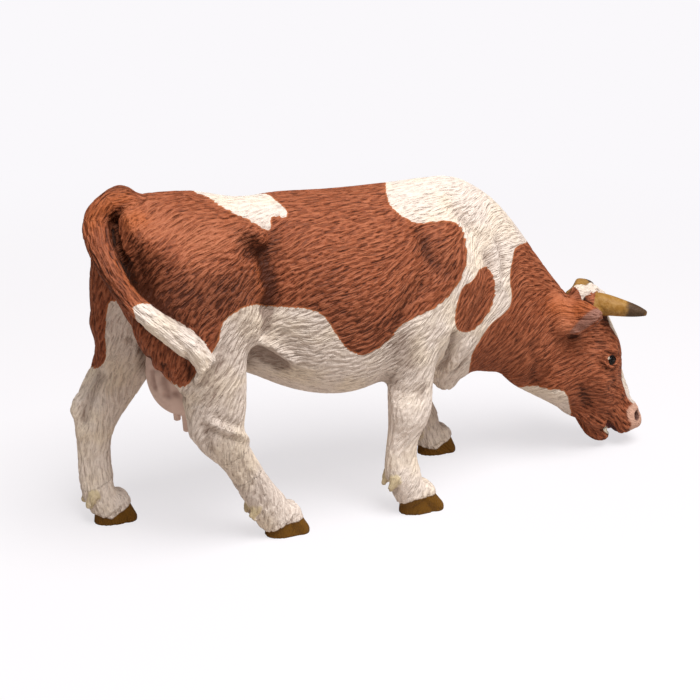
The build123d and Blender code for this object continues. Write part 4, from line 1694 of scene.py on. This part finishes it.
def piece_object(name: str, skin: Skin, coat: Coat, along: np.ndarray) -> bpy.types.Object:
    """One visible piece, cut out of the skin with the values that its finish reads.

    Args:
        name: The CAD piece that it stands for.
        skin: The whole surface.
        coat: The values per point.
        along: The direction of the fur per point.

    Returns:
        The piece, linked into the scene.
    """
    quads = skin.quads[skin.owner == skin.names.index(name)]
    used, local = np.unique(quads, return_inverse=True)
    mesh = bpy.data.meshes.new(name)
    mesh.from_pydata(skin.points[used] * MM, [], local.reshape(-1, 4).tolist())
    mesh.shade_smooth()
    mesh.normals_split_custom_set_from_vertices(skin.normals[used].tolist())
    for key, values in coat.values.items():
        mesh.attributes.new(key, "FLOAT", "POINT").data.foreach_set("value", values[used].astype(np.float32))
    lie = mesh.attributes.new("along", "FLOAT_VECTOR", "POINT")
    lie.data.foreach_set("vector", along[used].astype(np.float32).ravel())
    piece = bpy.data.objects.new(f"painted_{name}", mesh)
    bpy.context.scene.collection.objects.link(piece)
    return piece


@dataclass(frozen=True)
class Studio:
    """A white sweep under soft overhead light."""

    floor_colour: Colour = (250, 248, 251)
    bounce_colour: Colour = (196, 188, 182)
    floor_half: float = 3.0
    floor_roughness: float = 0.9
    shadow: float = 0.3
    near: float = 0.10
    far: float = 0.32
    sky: float = 0.22
    sky_colour: Colour = (255, 240, 228)
    key_power: float = 8.6
    key_size: float = 0.5
    key_place: Point = (0.05, -0.34, 0.78)
    aim: Point = (0.0, 0.0, 0.03)

    def build(self) -> None:
        """Lay the floor, hang the light and set the background."""
        half = self.floor_half
        floor = bpy.data.objects.new("floor", bpy.data.meshes.new("floor"))
        corners = [(-half, -half, 0), (half, -half, 0), (half, half, 0), (-half, half, 0)]
        floor.data.from_pydata(corners, [], [(0, 1, 2, 3)])
        bpy.context.scene.collection.objects.link(floor)
        floor.data.materials.append(self.sweep())
        self.lamp()
        bpy.context.scene.world = self.surroundings()
        bpy.context.scene.view_settings.view_transform = "Standard"

    def surroundings(self) -> bpy.types.World:
        """Soft light from all sides, which the camera sees as pale as the floor.

        Returns:
            The world.
        """
        graph = Graph(bpy.data.worlds.new("studio"))
        light = {"Color": linear(self.sky_colour), "Strength": self.sky}
        white = {"Color": linear(self.floor_colour), "Strength": 1.0}
        soft, pale = (graph.node("ShaderNodeBackground", {}, inputs) for inputs in (light, white))
        camera = graph.node("ShaderNodeLightPath", {}, {}, output="Is Camera Ray")
        graph.feed(graph.surface, graph.node("ShaderNodeMixShader", {}, {0: camera, 1: soft, 2: pale}))
        return graph.owner

    def sweep(self) -> bpy.types.Material:
        """A floor that takes the shadow near the cow and goes over into plain white for the camera.

        Returns:
            The floor's material.
        """
        graph = Graph(bpy.data.materials.new("white_sweep"))
        graph.shader.inputs["Base Color"].default_value = linear(self.floor_colour)
        graph.shader.inputs["Roughness"].default_value = self.floor_roughness
        gap = graph.node("ShaderNodeVectorMath", {"operation": "LENGTH"}, {0: graph.place()}, output="Value")
        camera = graph.node("ShaderNodeLightPath", {}, {}, output="Is Camera Ray")
        light = graph.node("ShaderNodeEmission", {}, {"Color": linear(self.floor_colour)})
        plain = Tap(graph, graph.shader.outputs["BSDF"])
        bounce = graph.node("ShaderNodeBsdfDiffuse", {}, {"Color": linear(self.bounce_colour)})
        share = 1 - (1 - gap.rise(self.near, self.far)) * self.shadow
        seen = graph.node("ShaderNodeMixShader", {}, {0: share, 1: plain, 2: light})
        mixed = graph.node("ShaderNodeMixShader", {}, {0: camera, 1: bounce, 2: seen})
        graph.feed(graph.surface, mixed)
        return graph.owner

    def lamp(self) -> None:
        """A large square soft light that looks down at the cow."""
        data = bpy.data.lights.new("overhead", "AREA")
        data.energy, data.size = self.key_power, self.key_size
        lamp = bpy.data.objects.new("overhead", data)
        lamp.location = self.key_place
        lamp.rotation_mode = "QUATERNION"
        lamp.rotation_quaternion = (Vector(self.aim) - Vector(self.key_place)).to_track_quat("-Z", "Y")
        bpy.context.scene.collection.objects.link(lamp)


def main() -> None:
    """Build the scene."""
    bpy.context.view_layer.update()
    skin = Skin(frame["nodes"])
    fur = Fur(skin)
    coat = Coat(skin)
    LOG.info("laid the coat")
    fur.engrave(coat)
    LOG.info("engraved the fur")
    slots = {row["node"]: row["material_slot"] for row in frame["record"]["subparts"]}
    painted = PaintedCoat().make()
    finishes = {
        "hide": painted,
        "legs": painted,
        "horn": PaintedHorn().make(),
        "udder": PaintedUdder().make(),
    }
    for name in skin.names:
        piece = piece_object(name, skin, coat, fur.along)
        piece.data.materials.append(finishes[slots[name]])
        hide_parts(name)
        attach(piece, "root")
        LOG.info("made %s with %d faces", piece.name, len(piece.data.polygons))
    CAMERA.place()
    Studio().build()


if __name__ == "__main__":
    main()
